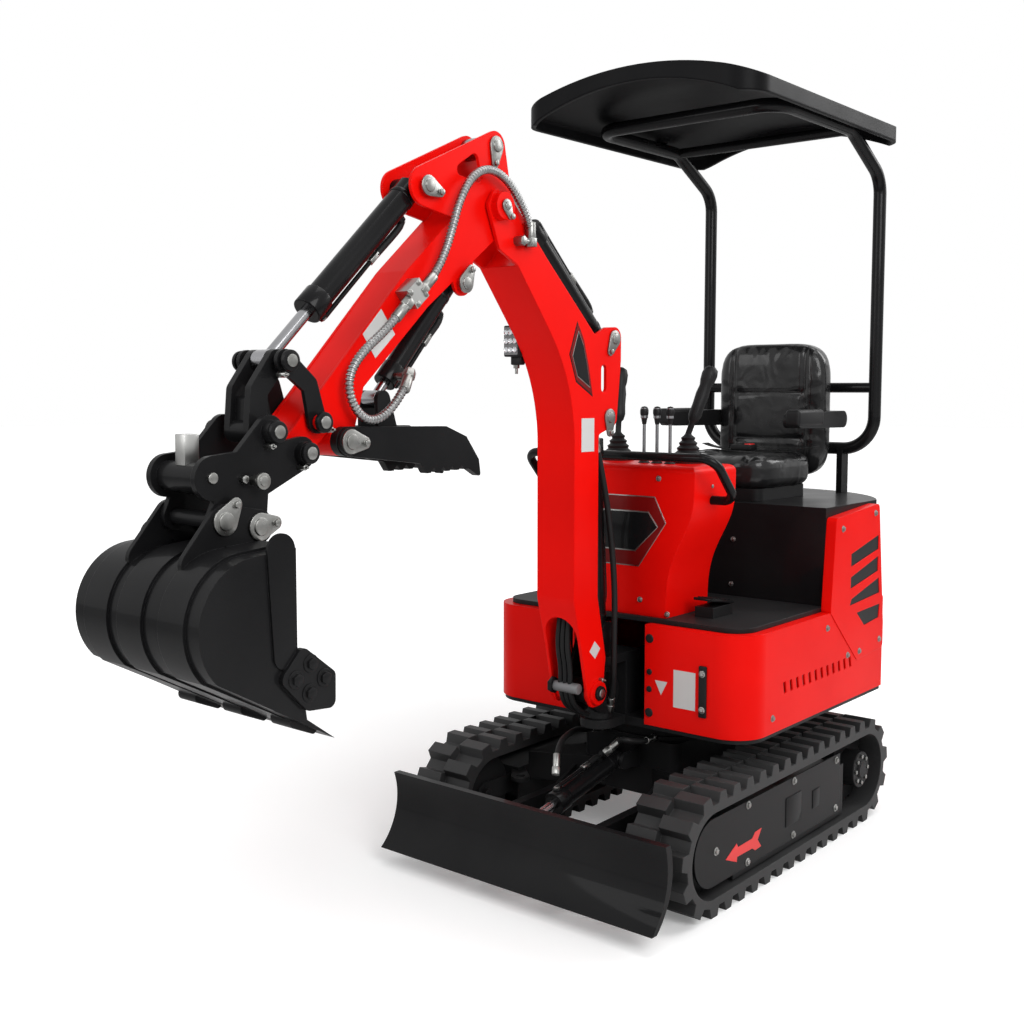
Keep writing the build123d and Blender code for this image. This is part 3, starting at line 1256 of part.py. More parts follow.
keep(bucket, "bucket")

# Thumb: two toothed plates with a hooked tip, a cross block and the lugs of its cylinder
with BuildPart() as thumb:
    for side in (1, -1):
        with BuildSketch(upright(side * (ARM_HALF_WIDTH + SIDE_PLAY))):
            outline(
                [
                    shifted(THUMB_PIVOT, 0, 32), shifted(THUMB_PIVOT, 315, 26), shifted(THUMB_PIVOT, 386, 0),
                    shifted(THUMB_PIVOT, 431, -57), shifted(THUMB_PIVOT, 438, -102), shifted(THUMB_PIVOT, 394, -78),
                    shifted(THUMB_PIVOT, 246, -82), shifted(THUMB_PIVOT, 228, -58), shifted(THUMB_PIVOT, 72, -40),
                    shifted(THUMB_PIVOT, 0, -32),
                ],
                6,
            )
            with Locations(THUMB_PIVOT):
                Circle(32)
            with Locations([shifted(THUMB_PIVOT, 272 + 32 * notch, -80) for notch in range(4)]):
                Rectangle(15, 15, rotation=45, mode=Mode.SUBTRACT)
        extrude(amount=side * 2 * PLATE)
        with BuildSketch(upright(side * (ARM_GAP / 2 + 2 * SIDE_PLAY))):
            bar(THUMB_CYLINDER_EYE, 20, shifted(THUMB_PIVOT, 165, -14), 36)
        extrude(amount=side * PLATE)
    with BuildSketch(upright(0)):
        bar(shifted(THUMB_PIVOT, 150, -6), 22, shifted(THUMB_PIVOT, 320, -20), 22)
    extrude(amount=ARM_HALF_WIDTH + 2 * SIDE_PLAY, both=True)
    cross_bore(THUMB_PIVOT, PIN + FIT, BUCKET_WIDTH)
keep(thumb, "thumb")
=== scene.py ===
"""A compact tracked excavator with a canopy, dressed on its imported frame.

Metres, the front is -Y and +X is the operator's left.
"""

import json
import logging
import math
from dataclasses import dataclass
from enum import Enum
from typing import Sequence

import bmesh
import bpy
from mathutils import Matrix, Vector


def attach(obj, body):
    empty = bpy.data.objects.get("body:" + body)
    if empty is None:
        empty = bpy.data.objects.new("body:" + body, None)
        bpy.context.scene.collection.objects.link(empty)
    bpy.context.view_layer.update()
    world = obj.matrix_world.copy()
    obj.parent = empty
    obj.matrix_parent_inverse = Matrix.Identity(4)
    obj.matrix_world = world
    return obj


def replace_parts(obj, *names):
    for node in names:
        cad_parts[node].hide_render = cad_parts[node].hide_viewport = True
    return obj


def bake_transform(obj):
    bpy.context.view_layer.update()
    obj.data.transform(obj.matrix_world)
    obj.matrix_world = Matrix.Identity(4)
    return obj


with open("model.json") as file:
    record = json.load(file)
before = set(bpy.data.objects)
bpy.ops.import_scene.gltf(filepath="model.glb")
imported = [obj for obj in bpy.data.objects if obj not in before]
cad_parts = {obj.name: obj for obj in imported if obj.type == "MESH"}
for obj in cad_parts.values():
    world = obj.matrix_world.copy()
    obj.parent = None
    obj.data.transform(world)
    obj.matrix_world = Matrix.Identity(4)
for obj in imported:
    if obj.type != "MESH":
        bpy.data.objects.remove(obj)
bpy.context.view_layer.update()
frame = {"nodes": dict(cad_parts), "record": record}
LOG = logging.getLogger("excavator")

Point = tuple[float, float, float]
Flat = tuple[float, float]
Colour = tuple[float, float, float]
Outline = Sequence[Flat]
Socket = bpy.types.NodeSocket

# Pins as (y, z): those of the frame's joints, and the eyes where a linkage is open
JOINTS = frame["record"]["behaviour"]["joints"]
PINS: dict[str, Flat] = {joint["name"]: tuple(joint["pos_m"][1:]) for joint in JOINTS if "pos_m" in joint}
BLADE_EYE: Flat = (-0.645, 0.205)
BOOM_EYE: Flat = (-0.392, 1.297)
ARM_EYE: Flat = (-0.860, 1.967)
THUMB_EYE: Flat = (-1.231, 1.352)
LINK_FOOT: Flat = (-1.596, 1.289)

FILM = 0.0006
CHAMFER = 0.0015
TUBE_SMOOTH = 60.0
TURNED_SMOOTH = 50.0
HOSE_STEP = 0.012
RING_STEPS = 4
RING_WAIST = 0.78
RING_SMOOTH = 35.0


class Side(Enum):
    """The two sides of the machine, as the sign of X."""

    LEFT = 1
    RIGHT = -1

    @property
    def tag(self) -> str:
        """The side's word in the names of pieces."""
        return self.name.lower()


class Groups:
    """Shader node groups that several finishes share, each built once."""

    @staticmethod
    def _start(name: str, inputs: dict[str, float], outputs: dict[str, str]) -> bpy.types.NodeTree:
        """Make an empty group with its sockets."""
        tree = bpy.data.node_groups.new(name, "ShaderNodeTree")
        for label, value in inputs.items():
            socket = tree.interface.new_socket(label, in_out="INPUT", socket_type="NodeSocketFloat")
            socket.default_value = value
        for label, kind in outputs.items():
            tree.interface.new_socket(label, in_out="OUTPUT", socket_type=kind)
        return tree

    @classmethod
    def rounding(cls) -> bpy.types.NodeTree:
        """The group that rounds edges in the normal and finds them as a broken mask."""
        if "rounded_edges" in bpy.data.node_groups:
            return bpy.data.node_groups["rounded_edges"]
        outputs = {"Normal": "NodeSocketVector", "Edge": "NodeSocketFloat"}
        tree = cls._start("rounded_edges", {"Radius": 0.002, "Breakup": 60.0}, outputs)
        bench = Bench(tree)
        source = bench.add("NodeGroupInput")
        sink = bench.add("NodeGroupOutput")
        bevel = bench.add("ShaderNodeBevel", samples=6)
        plain = bench.add("ShaderNodeNewGeometry")
        dot = bench.add("ShaderNodeVectorMath", operation="DOT_PRODUCT")
        spread = bench.add("ShaderNodeMapRange", {"From Min": 0.995, "From Max": 0.86})
        where = bench.add("ShaderNodeTexCoord")
        noise = bench.add("ShaderNodeTexNoise", {"Detail": 5.0})
        broken = bench.add("ShaderNodeMapRange", {"From Min": 0.45, "From Max": 0.68})
        both = bench.add("ShaderNodeMath", operation="MULTIPLY")
        bench.wire(
            (source, "Radius", bevel, "Radius"), (source, "Breakup", noise, "Scale"),
            (bevel, "Normal", dot, 0), (plain, "Normal", dot, 1), (dot, "Value", spread, "Value"),
            (where, "Object", noise, "Vector"), (noise, "Fac", broken, "Value"),
            (spread, "Result", both, 0), (broken, "Result", both, 1),
            (bevel, "Normal", sink, "Normal"), (both, "Value", sink, "Edge"),
        )
        return tree

    @classmethod
    def cloud(cls) -> bpy.types.NodeTree:
        """The group that gives broad soft patches and a fine grain."""
        if "cloudy_grain" in bpy.data.node_groups:
            return bpy.data.node_groups["cloudy_grain"]
        outputs = {"Patch": "NodeSocketFloat", "Grain": "NodeSocketFloat"}
        tree = cls._start("cloudy_grain", {"Patch Scale": 4.0, "Grain Scale": 500.0}, outputs)
        bench = Bench(tree)
        source = bench.add("NodeGroupInput")
        sink = bench.add("NodeGroupOutput")
        where = bench.add("ShaderNodeTexCoord")
        broad = bench.add("ShaderNodeTexNoise", {"Detail": 4.0})
        patch = bench.add("ShaderNodeMapRange", {"From Min": 0.35, "From Max": 0.7})
        fine = bench.add("ShaderNodeTexNoise", {"Detail": 3.0})
        bench.wire(
            (where, "Object", broad, "Vector"), (where, "Object", fine, "Vector"),
            (source, "Patch Scale", broad, "Scale"), (source, "Grain Scale", fine, "Scale"),
            (broad, "Fac", patch, "Value"), (patch, "Result", sink, "Patch"), (fine, "Fac", sink, "Grain"),
        )
        return tree


@dataclass
class Bench:
    """Adds and links nodes in one tree."""

    tree: bpy.types.NodeTree

    def add(self, kind: str, values: dict[str, float] | None = None, **settings: object) -> bpy.types.Node:
        """Add a node."""
        node = self.tree.nodes.new(kind)
        for key, setting in settings.items():
            setattr(node, key, setting)
        for key, value in (values or {}).items():
            node.inputs[key].default_value = value
        return node

    def link(self, start: Socket, end: Socket) -> None:
        """Link two sockets."""
        self.tree.links.new(start, end)

    def wire(self, *runs: tuple[bpy.types.Node, str, bpy.types.Node, str | int]) -> None:
        """Link nodes, each run given as a node and its output, then a node and its input."""
        for first, output, last, entry in runs:
            self.link(first.outputs[output], last.inputs[entry])

    def blend(
        self, mask: Socket, first: Colour | Socket, second: Colour
    ) -> Socket:
        """Mix two colours by a mask."""
        node = self.add("ShaderNodeMix", data_type="RGBA")
        self.link(mask, node.inputs["Factor"])
        if isinstance(first, Socket):
            self.link(first, node.inputs[6])
        else:
            node.inputs[6].default_value = (*first, 1.0)
        node.inputs[7].default_value = (*second, 1.0)
        return node.outputs[2]

    def span(self, value: Socket, low: float, high: float) -> Socket:
        """Map a 0 to 1 value onto a range."""
        node = self.add("ShaderNodeMapRange", {"To Min": low, "To Max": high})
        self.link(value, node.inputs["Value"])
        return node.outputs["Result"]


@dataclass(frozen=True)
class Finish:
    """One surface finish: its colours, gloss, grain and wear."""

    name: str
    slot: str
    colour: Colour
    shade: Colour
    roughness: float
    spread: float = 0.08
    metallic: float = 0.0
    coat: float = 0.0
    crumpled: bool = False
    grain_scale: float = 500.0
    grain_depth: float = 0.0001
    patch_scale: float = 4.0
    rounding: float = 0.0015
    worn: Colour = (0.2, 0.2, 0.2)
    wear: float = 0.0
    specular: float = 0.5

    def material(self) -> bpy.types.Material:
        """The material, built on first use."""
        if self.name in bpy.data.materials:
            return bpy.data.materials[self.name]
        material = bpy.data.materials.new(self.name)
        material.use_nodes = True
        bench = Bench(material.node_tree)
        shader = material.node_tree.nodes["Principled BSDF"]
        scales = {"Patch Scale": self.patch_scale, "Grain Scale": self.grain_scale}
        cloud = bench.add("ShaderNodeGroup", scales, node_tree=Groups.cloud())
        edges = bench.add("ShaderNodeGroup", {"Radius": self.rounding}, node_tree=Groups.rounding())
        colour = bench.blend(cloud.outputs["Patch"], self.colour, self.shade)
        if self.wear > 0:
            amount = bench.span(edges.outputs["Edge"], 0.0, self.wear)
            colour = bench.blend(amount, colour, self.worn)
        bench.link(colour, shader.inputs["Base Color"])
        gloss = bench.span(cloud.outputs["Patch"], self.roughness, self.roughness + self.spread)
        bench.link(gloss, shader.inputs["Roughness"])
        levels = {"Metallic": self.metallic, "Coat Weight": self.coat, "Coat Roughness": 0.06,
                  "Specular IOR Level": self.specular}
        for socket, value in levels.items():
            shader.inputs[socket].default_value = value
        bump = bench.add("ShaderNodeBump", {"Strength": 0.6, "Distance": self.grain_depth})
        bench.link(self._relief(bench, cloud), bump.inputs["Height"])
        bench.link(edges.outputs["Normal"], bump.inputs["Normal"])
        bench.link(bump.outputs["Normal"], shader.inputs["Normal"])
        return material

    def _relief(self, bench: Bench, cloud: bpy.types.Node) -> Socket:
        """The height of the grain."""
        if not self.crumpled:
            return cloud.outputs["Grain"]
        where = bench.add("ShaderNodeTexCoord")
        folds = bench.add("ShaderNodeTexNoise", {"Scale": self.grain_scale, "Distortion": 0.8},
                          noise_type="RIDGED_MULTIFRACTAL")
        bench.wire((where, "Object", folds, "Vector"))
        return folds.outputs["Fac"]


def dark(level: float) -> Colour:
    """A near-black grey, a little blue."""
    return (level, level, level + 0.0005)


def grey(level: float) -> Colour:
    """A plain grey."""
    return (level, level, level)


RED = Finish("red_enamel", "red", (0.76, 0.004, 0.002), (0.70, 0.003, 0.0015), 0.3, 0.06, specular=0.06,
             grain_scale=260.0, grain_depth=0.00005, rounding=0.003, worn=(0.5, 0.004, 0.003), wear=0.25)
BLACK = Finish("black_enamel", "black", dark(0.006), dark(0.010), 0.34, 0.1, coat=0.12, specular=0.05,
               grain_scale=320.0, grain_depth=0.00012, rounding=0.0022, worn=(0.05, 0.05, 0.051), wear=0.45)
GLOSS = Finish("black_gloss", "black", dark(0.005), dark(0.008), 0.22, coat=0.1, specular=0.08,
               grain_scale=300.0, grain_depth=0.00005)
FRAME = Finish("frame_black", "black", dark(0.007), dark(0.012), 0.4, 0.12, specular=0.12,
               grain_scale=240.0, grain_depth=0.0002, rounding=0.002, worn=grey(0.05), wear=0.45)
RUBBER = Finish("track_rubber", "track", dark(0.017), dark(0.028), 0.46, 0.14, specular=0.25,
                grain_scale=420.0, grain_depth=0.0004, rounding=0.004, worn=(0.06, 0.06, 0.061), wear=0.6)
MAT = Finish("floor_rubber", "mat", dark(0.010), dark(0.015), 0.5, 0.1, specular=0.15,
             grain_scale=420.0, grain_depth=0.0003, rounding=0.004)
CAST = Finish("cast_block", "engine", (0.16, 0.16, 0.165), grey(0.22), 0.6, 0.1, metallic=0.6,
              grain_scale=300.0, grain_depth=0.0004)
CHROME = Finish("hard_chrome", "chrome", (0.33, 0.33, 0.34), (0.27, 0.27, 0.28), 0.18, 0.06, metallic=1.0,
                grain_scale=900.0, grain_depth=0.00001, rounding=0.001)
ZINC = Finish("bright_zinc", "chrome", (0.30, 0.30, 0.29), (0.19, 0.19, 0.18), 0.26, 0.14, metallic=1.0,
              grain_scale=600.0, grain_depth=0.00008, patch_scale=30.0, rounding=0.0012)
VINYL = Finish("seat_vinyl", "vinyl", dark(0.008), dark(0.012), 0.24, 0.1, coat=0.35, specular=0.15,
               crumpled=True, grain_scale=15.0, grain_depth=0.009, rounding=0.003)
PLASTIC = Finish("moulded_black", "plastic", dark(0.008), dark(0.012), 0.4, 0.1, specular=0.15,
                 grain_scale=700.0, grain_depth=0.00015, rounding=0.0025)
ROOF = Finish("roof_black", "plastic", dark(0.006), dark(0.010), 0.36, 0.1, specular=0.04,
              grain_scale=520.0, grain_depth=0.00025, rounding=0.008)
ALLOY = Finish("block_alloy", "block", (0.42, 0.42, 0.41), (0.34, 0.34, 0.33), 0.3, 0.1, metallic=1.0,
               grain_depth=0.00006, rounding=0.0012)
BRAID = Finish("braided_steel", "chrome", grey(0.30), grey(0.22), 0.3, 0.12, metallic=1.0,
               grain_scale=800.0, patch_scale=40.0, rounding=0.0006)
HOSE = Finish("hose_rubber", "plastic", dark(0.007), grey(0.012), 0.45, 0.1, specular=0.15,
              grain_depth=0.0002)
LABEL = Finish("blank_plate", "block", (0.56, 0.56, 0.55), (0.5, 0.5, 0.49), 0.4, 0.05, grain_depth=0.00002)
DECAL = Finish("red_film", "red", (0.72, 0.01, 0.008), (0.66, 0.009, 0.007), 0.35, 0.05)
DEEP = Finish("deep_red", "red", (0.17, 0.003, 0.003), (0.12, 0.002, 0.002), 0.3, 0.05, specular=0.12)
LENS = Finish("lamp_lens", "plastic", (0.62, 0.63, 0.65), (0.55, 0.56, 0.58), 0.1, 0.06, metallic=0.8)


@dataclass(frozen=True)
class Span:
    """Two jointed bodies that a piece crosses, and where it leaves the one and joins the other."""

    first: str
    last: str
    start: Point
    end: Point


def turn_to(direction: Sequence[float], place: Sequence[float]) -> Matrix:
    """A matrix that puts local Z along a direction at a place."""
    return Matrix.Translation(Vector(place)) @ Vector(direction).to_track_quat("Z", "Y").to_matrix().to_4x4()


SIDEWAYS = Matrix(((0, 0, 1, 0), (1, 0, 0, 0), (0, 1, 0, 0), (0, 0, 0, 1)))


class Shape:
    """One mesh under construction, in the machine's frame. What adds to it returns it."""

    def __init__(self) -> None:
        """Start with an empty mesh."""
        self.bm = bmesh.new()

    def cone(self, start: Point, end: Point, first: float, last: float, sides: int = 24) -> "Shape":
        """Add a round or many-sided bar that tapers.

        Args:
            start: Middle of the first end.
            end: Middle of the last end.
            first: Radius at the start.
            last: Radius at the end.
            sides: How many sides.
        """
        axis = Vector(end) - Vector(start)
        matrix = turn_to(axis, (Vector(start) + Vector(end)) / 2)
        bmesh.ops.create_cone(
            self.bm, cap_ends=True, segments=sides, radius1=first, radius2=last, depth=axis.length,
            matrix=matrix,
        )
        return self

    def bar(self, start: Point, end: Point, radius: float, sides: int = 24) -> "Shape":
        """Add a round or many-sided bar of one radius."""
        return self.cone(start, end, radius, radius, sides)

    def slab(self, points: Outline, depth: float, matrix: Matrix) -> "Shape":
        """Add a flat plate with a given outline.

        Args:
            points: Outline in local X and Y.
            depth: Thickness along local Z.
            matrix: Where the plate goes.
        """
        verts = [self.bm.verts.new((x, y, 0.0)) for x, y in points]
        face = self.bm.faces.new(verts)
        grown = bmesh.ops.extrude_face_region(self.bm, geom=[face])["geom"]
        moved = [item for item in grown if isinstance(item, bmesh.types.BMVert)]
        bmesh.ops.translate(self.bm, verts=moved, vec=(0, 0, depth))
        bmesh.ops.transform(self.bm, matrix=matrix, verts=verts + moved)
        return self

    def side_slab(self, points: Outline, x: float, depth: float) -> "Shape":
        """Add a plate drawn in (y, z), from x outwards by depth."""
        return self.slab(points, depth, Matrix.Translation((x, 0, 0)) @ SIDEWAYS)

    def block(self, low: Point, high: Point) -> "Shape":
        """Add a box between two corners."""
        size = Vector(high) - Vector(low)
        matrix = Matrix.Translation((Vector(low) + Vector(high)) / 2) @ Matrix.Diagonal((*size, 1.0))
        bmesh.ops.create_cube(self.bm, size=1.0, matrix=matrix)
        return self

    def lathe(
        self, profile: Outline, place: Point, axis: Point = (0, 0, 1), sides: int = 28
    ) -> "Shape":
        """Add a turned form.

        Args:
            profile: Pairs of radius and height along the axis.
            place: Where height 0 is.
            axis: Direction of the axis.
            sides: Steps round the axis.
        """
        known = set(self.bm.verts)
        verts = [self.bm.verts.new((radius, 0, height)) for radius, height in profile]
        edges = [self.bm.edges.new(pair) for pair in zip(verts, verts[1:])]
        bmesh.ops.spin(
            self.bm, geom=verts + edges, cent=(0, 0, 0), axis=(0, 0, 1), dvec=(0, 0, 0),
            angle=2 * math.pi, steps=sides, use_merge=True,
        )
        fresh = [vert for vert in self.bm.verts if vert not in known]
        bmesh.ops.transform(self.bm, matrix=turn_to(axis, place), verts=fresh)
        return self

    def bevel(self, width: float, segments: int = 2, above: float = 25.0) -> "Shape":
        """Round every edge that is sharper than an angle.

        Args:
            width: Width of the rounding.
            segments: Its steps.
            above: Angle in degrees.
        """
        bmesh.ops.recalc_face_normals(self.bm, faces=self.bm.faces)
        limit = math.radians(above)
        sharp = [edge for edge in self.bm.edges if edge.is_manifold and edge.calc_face_angle(0.0) > limit]
        bmesh.ops.bevel(
            self.bm, geom=sharp, offset=width, affect="EDGES", segments=segments, profile=0.5, material=-1,
            clamp_overlap=True,
        )
        return self

    def sweep(self, path: Sequence[Vector], radii: Sequence[float], sides: int = 12) -> "Shape":
        """Add a tube along a path.

        Args:
            path: Points along the middle line.
            radii: A radius for each point.
            sides: Sides of the tube.
        """
        places = [Matrix.Translation(point) for point in path]
        sizes = [Matrix.Scale(radius, 4) for radius in radii]
        forward = (path[1] - path[0]).normalized()
        turn = forward.to_track_quat("Z", "Y")
        place = places[0] @ turn.to_matrix().to_4x4() @ sizes[0]
        start = bmesh.ops.create_circle(self.bm, cap_ends=True, segments=sides, radius=1.0, matrix=place)
        edges = list({edge for vert in start["verts"] for edge in vert.link_edges})
        for number in range(1, len(path)):
            ahead = path[min(number + 1, len(path) - 1)] - path[number - 1]
            turn = forward.rotation_difference(ahead.normalized()) @ turn
            forward = ahead.normalized()
            target = places[number] @ turn.to_matrix().to_4x4() @ sizes[number]
            grown = bmesh.ops.extrude_edge_only(self.bm, edges=edges)["geom"]
            verts = [item for item in grown if isinstance(item, bmesh.types.BMVert)]
            edges = [item for item in grown if isinstance(item, bmesh.types.BMEdge)]
            edges = [edge for edge in edges if all(vert in verts for vert in edge.verts)]
            bmesh.ops.transform(self.bm, matrix=target @ place.inverted(), verts=verts)
            place = target
        bmesh.ops.contextual_create(self.bm, geom=edges)
        return self

    def done(self, name: str, finish: Finish, body: str | Span, smooth: float = 32.0) -> bpy.types.Object:
        """Turn the shape into a piece that rides on a body, or stays in place across a span.

        Args:
            name: The piece's name.
            finish: Its finish.
            body: The body it moves with, or the span of two bodies it lies between, where it is left in place
                and rides on neither.
            smooth: Edges sharper than this angle stay sharp.
        """
        bmesh.ops.remove_doubles(self.bm, verts=self.bm.verts, dist=1e-6)
        bmesh.ops.recalc_face_normals(self.bm, faces=self.bm.faces)
        mesh = bpy.data.meshes.new(name)
        self.bm.to_mesh(mesh)
        self.bm.free()
        mesh.shade_smooth()
        mesh.set_sharp_from_angle(angle=math.radians(smooth))
        mesh.materials.append(finish.material())
        piece = bpy.data.objects.new(name, mesh)
        bpy.context.scene.collection.objects.link(piece)
        if isinstance(body, Span):
            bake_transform(piece)
        else:
            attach(piece, body)
        LOG.info("piece %s, %d faces", name, len(mesh.polygons))
        return piece


def dress(finish: Finish, *nodes: str) -> None:
    """Give CAD nodes a finish."""
    for name in nodes:
        node = frame["nodes"][name]
        node.data.materials.clear()
        node.data.materials.append(finish.material())


def route(points: Sequence[Point]) -> list[Vector]:
    """Points read from a smooth spline."""
    curve = bpy.data.curves.new("route", "CURVE")
    curve.dimensions = "3D"
    curve.resolution_u = 16
    spline = curve.splines.new("NURBS")
    spline.points.add(len(points) - 1)
    for knot, place in zip(spline.points, points):
        knot.co = (*place, 1.0)
    spline.order_u = 3
    spline.use_endpoint_u = True
    holder = bpy.data.objects.new("route", curve)
    mesh = bpy.data.meshes.new_from_object(holder)
    path = [vert.co.copy() for vert in mesh.vertices]
    bpy.data.objects.remove(holder)
    bpy.data.curves.remove(curve)
    bpy.data.meshes.remove(mesh)
    return path


def even(path: Sequence[Vector], step: float) -> list[Vector]:
    """The path divided into even steps."""
    marks = [0.0]
    for first, second in zip(path, path[1:]):
        marks.append(marks[-1] + (second - first).length)
    count = max(2, round(marks[-1] / step))
    result = []
    segment = 0
    for number in range(count + 1):
        want = marks[-1] * number / count
        while segment < len(marks) - 2 and marks[segment + 1] < want:
            segment += 1
        share = (want - marks[segment]) / max(marks[segment + 1] - marks[segment], 1e-9)
        result.append(path[segment].lerp(path[segment + 1], share))
    return result


@dataclass
class Hose:
    """A hydraulic hose between two crimped end fittings."""

    name: str
    body: str | Span
    points: Sequence[Point]
    radius: float = 0.008
    finish: Finish = HOSE
    pitch: float = 0.0
    fitting: float = 0.045
    sleeve: float = 1.22
    nut: float = 1.5

    def build(self) -> bpy.types.Object:
        """Make the hose and its fittings."""
        path = even(route(self.points), self.pitch / RING_STEPS if self.pitch else HOSE_STEP)
        radii = [self.radius] * len(path)
        if self.pitch:
            waists = [number % RING_STEPS >= RING_STEPS / 2 for number in range(len(path))]
            radii = [self.radius * (RING_WAIST if waist else 1.0) for waist in waists]
        smooth = RING_SMOOTH if self.pitch else TUBE_SMOOTH
        hose = Shape().sweep(path, radii, 14).done(self.name, self.finish, self.body, smooth)
        across = isinstance(self.body, Span)
        holders = (self.body.first, self.body.last) if across else (self.body, self.body)
        tips = ((path[0], path[2]), (path[-1], path[-3]))
        for number, (tip, inner) in enumerate(tips if self.fitting else ()):
            along = (inner - tip).normalized()
            ends = Shape()
            ends.bar(tip - along * 0.004, tip + along * self.fitting, self.radius * self.sleeve, 20)
            ends.bar(tip - along * 0.016, tip + along * 0.006, self.radius * self.nut, 6)
            ends.bevel(0.0012).done(f"{self.name}_end_{number}", ZINC, holders[number])
        return hose


@dataclass
class Ram:
    """The bands, ports and pipe of one hydraulic cylinder's barrel."""

    body: str
    base: Flat
    eye: Flat
    radius: float
    mouth: float
    turn: float = 1.0
    port: float = 0.075
    pipe: float = 0.0055
    hose: float = 0.0085

    def build(self) -> None:
        """Make the bands and ports, and the pipe and hose on the side that the turn names."""
        start = Vector((0.0, *self.base))
        axis = (Vector((0.0, *self.eye)) - start).normalized()
        out = Vector((0.0, -axis.z, axis.y)) * self.turn

        def at(along: float, off: float) -> Vector:
            """A place at a distance along the barrel, off its skin."""
            return start + axis * along + out * (self.radius + off)

        first, half, last = self.port, 0.46 * self.mouth, self.mouth - 0.024
        bands = Shape()
        for near, far, grow in ((0.034, 0.046, 1.05), (self.mouth - 0.050, self.mouth - 0.001, 1.12)):
            bands.bar(start + axis * near, start + axis * far, self.radius * grow, 40)
        for along in (first, last):
            bands.bar(at(along, -self.radius), at(along, 0.009), 0.012, 16)
        bands.bevel(CHAMFER).done(f"{self.body}_bands", GLOSS, self.body)
        fittings = Shape()
        fittings.bar(at(half + 0.018, 0.012), at(half - 0.014, 0.012), 0.0095, 6)
        for along in (first, last):
            fittings.bar(at(along, 0.007), at(along, 0.014), 0.009, 6)
        fittings.bevel(0.001).done(f"{self.body}_fittings", ZINC, self.body)
        points = [at(last, 0.010), at(last - 0.004, 0.013), at(last - 0.025, 0.012), at(half + 0.010, 0.012)]
        path = even(route(points), HOSE_STEP / 2)
        pipe = Shape().sweep(path, [self.pipe] * len(path), 12)
        pipe.done(f"{self.body}_pipe", GLOSS, self.body, TUBE_SMOOTH)
        points = [at(half - 0.008, 0.012), at(half - 0.035, 0.013), at(first + 0.035, 0.015),
                  at(first + 0.006, 0.014), at(first, 0.010)]
        Hose(f"{self.body}_hose", self.body, points, self.hose, fitting=0.0).build()


@dataclass
class PinEnds:
    """Ends of like pins in their collars on both sides, each with a grease nipple."""

    name: str
    body: str
    spots: Outline
    x: float
    collar: float = 0.023
    nipple: Flat = (-0.012, -0.029)

    def build(self) -> None:
        """Make the collars, the pins' faces and the nipples."""
        collars, faces = Shape(), Shape()
        for side in Side:
            sign = side.value
            for y, z in self.spots:
                foot, tip = (sign * self.x, y, z), (y + self.nipple[0], z + self.nipple[1])
                collars.cone(foot, (sign * (self.x + 0.009), y, z), self.collar, 0.95 * self.collar, 36)
                faces.cone(foot, (sign * (self.x + 0.012), y, z), 0.62 * self.collar, 0.58 * self.collar, 28)
                faces.bar((sign * (self.x - 0.022), *tip), (sign * (self.x + 0.003), *tip), 0.0065, 6)
                faces.cone((sign * self.x, *tip), (sign * (self.x + 0.011), *tip), 0.0035, 0.0028, 12)
        collars.bevel(CHAMFER).done(f"{self.name}_collars", BLACK, self.body)
        faces.bevel(0.0008).done(f"{self.name}_faces", ZINC, self.body)


@dataclass
class Bolts:
    """A set of like bolts on one body, joined in one piece."""

    name: str
    body: str
    places: Sequence[Point]
    axis: Point
    radius: float = 0.008
    height: float = 0.006
    washer: float = 1.45
    sides: int = 6
    finish: Finish = ZINC

    def build(self) -> bpy.types.Object:
        """Make the bolts."""
        out = Vector(self.axis).normalized()
        shape = Shape()
        for place in self.places:
            foot = Vector(place) - out * 0.001
            if self.washer > 0:
                shape.bar(foot, foot + out * (0.25 * self.height + 0.001), self.radius * self.washer, 20)
            shape.bar(foot, foot + out * (self.height + 0.001), self.radius, self.sides)
        return shape.bevel(0.15 * self.radius).done(self.name, self.finish, self.body)


@dataclass
class Keeper:
    """A drop-shaped plate that keeps a pin, with the pin's head and one bolt."""

    pin: Flat
    bolt: Flat
    x: float
    head: float = 0.016
    thickness: float = 0.006

    def add_to(self, shape: Shape) -> None:
        """Add the keeper to a shape."""
        away = math.copysign(1.0, self.x)
        heading = math.degrees(math.atan2(self.bolt[1] - self.pin[1], self.bolt[0] - self.pin[0]))
        points = []
        for (y, z), radius, start, sweep, steps in ((self.pin, 1.5 * self.head, 75, 210, 12),
                                                    (self.bolt, 0.75 * self.head, -75, 150, 8)):
            for step in range(steps + 1):
                angle = math.radians(heading + start + sweep * step / steps)
                points.append((y + radius * math.cos(angle), z + radius * math.sin(angle)))
        shape.side_slab(points, self.x, away * self.thickness)
        top = self.x + away * self.thickness
        sunk = top - away * 0.002
        shape.cone((sunk, *self.pin), (top + away * 0.004, *self.pin), self.head, self.head * 0.92, 28)
        shape.bar((sunk, *self.bolt), (top + away * 0.007, *self.bolt), 0.008, 6)


def keepers(name: str, body: str, items: Sequence[Keeper]) -> bpy.types.Object:
    """Make one body's pin keepers on both sides of the machine."""
    shape = Shape()
    for item in items:
        for side in Side:
            Keeper(item.pin, item.bolt, side.value * item.x, item.head, item.thickness).add_to(shape)
    return shape.bevel(CHAMFER).done(name, ZINC, body)


def side_bolts(
    name: str, body: str, side: Side, x: float, spots: Outline, radius: float = 0.007
) -> None:
    """Make bolts that point out of one side of the machine.

    Args:
        name: The set's name, without the side.
        body: The body they move with.
        side: The side.
        x: The face they sit on, as a distance from the middle.
        spots: Their places as (y, z).
        radius: Radius of a head.
    """
    sign = side.value
    Bolts(f"{name}_{side.tag}", body, [(sign * x, y, z) for y, z in spots], (sign, 0, 0), radius).build()


def oblong(half: float, tall: float) -> list[Flat]:
    """An upright rectangle about the origin, by its half sizes."""
    return [(-half, -tall), (half, -tall), (half, tall), (-half, tall)]


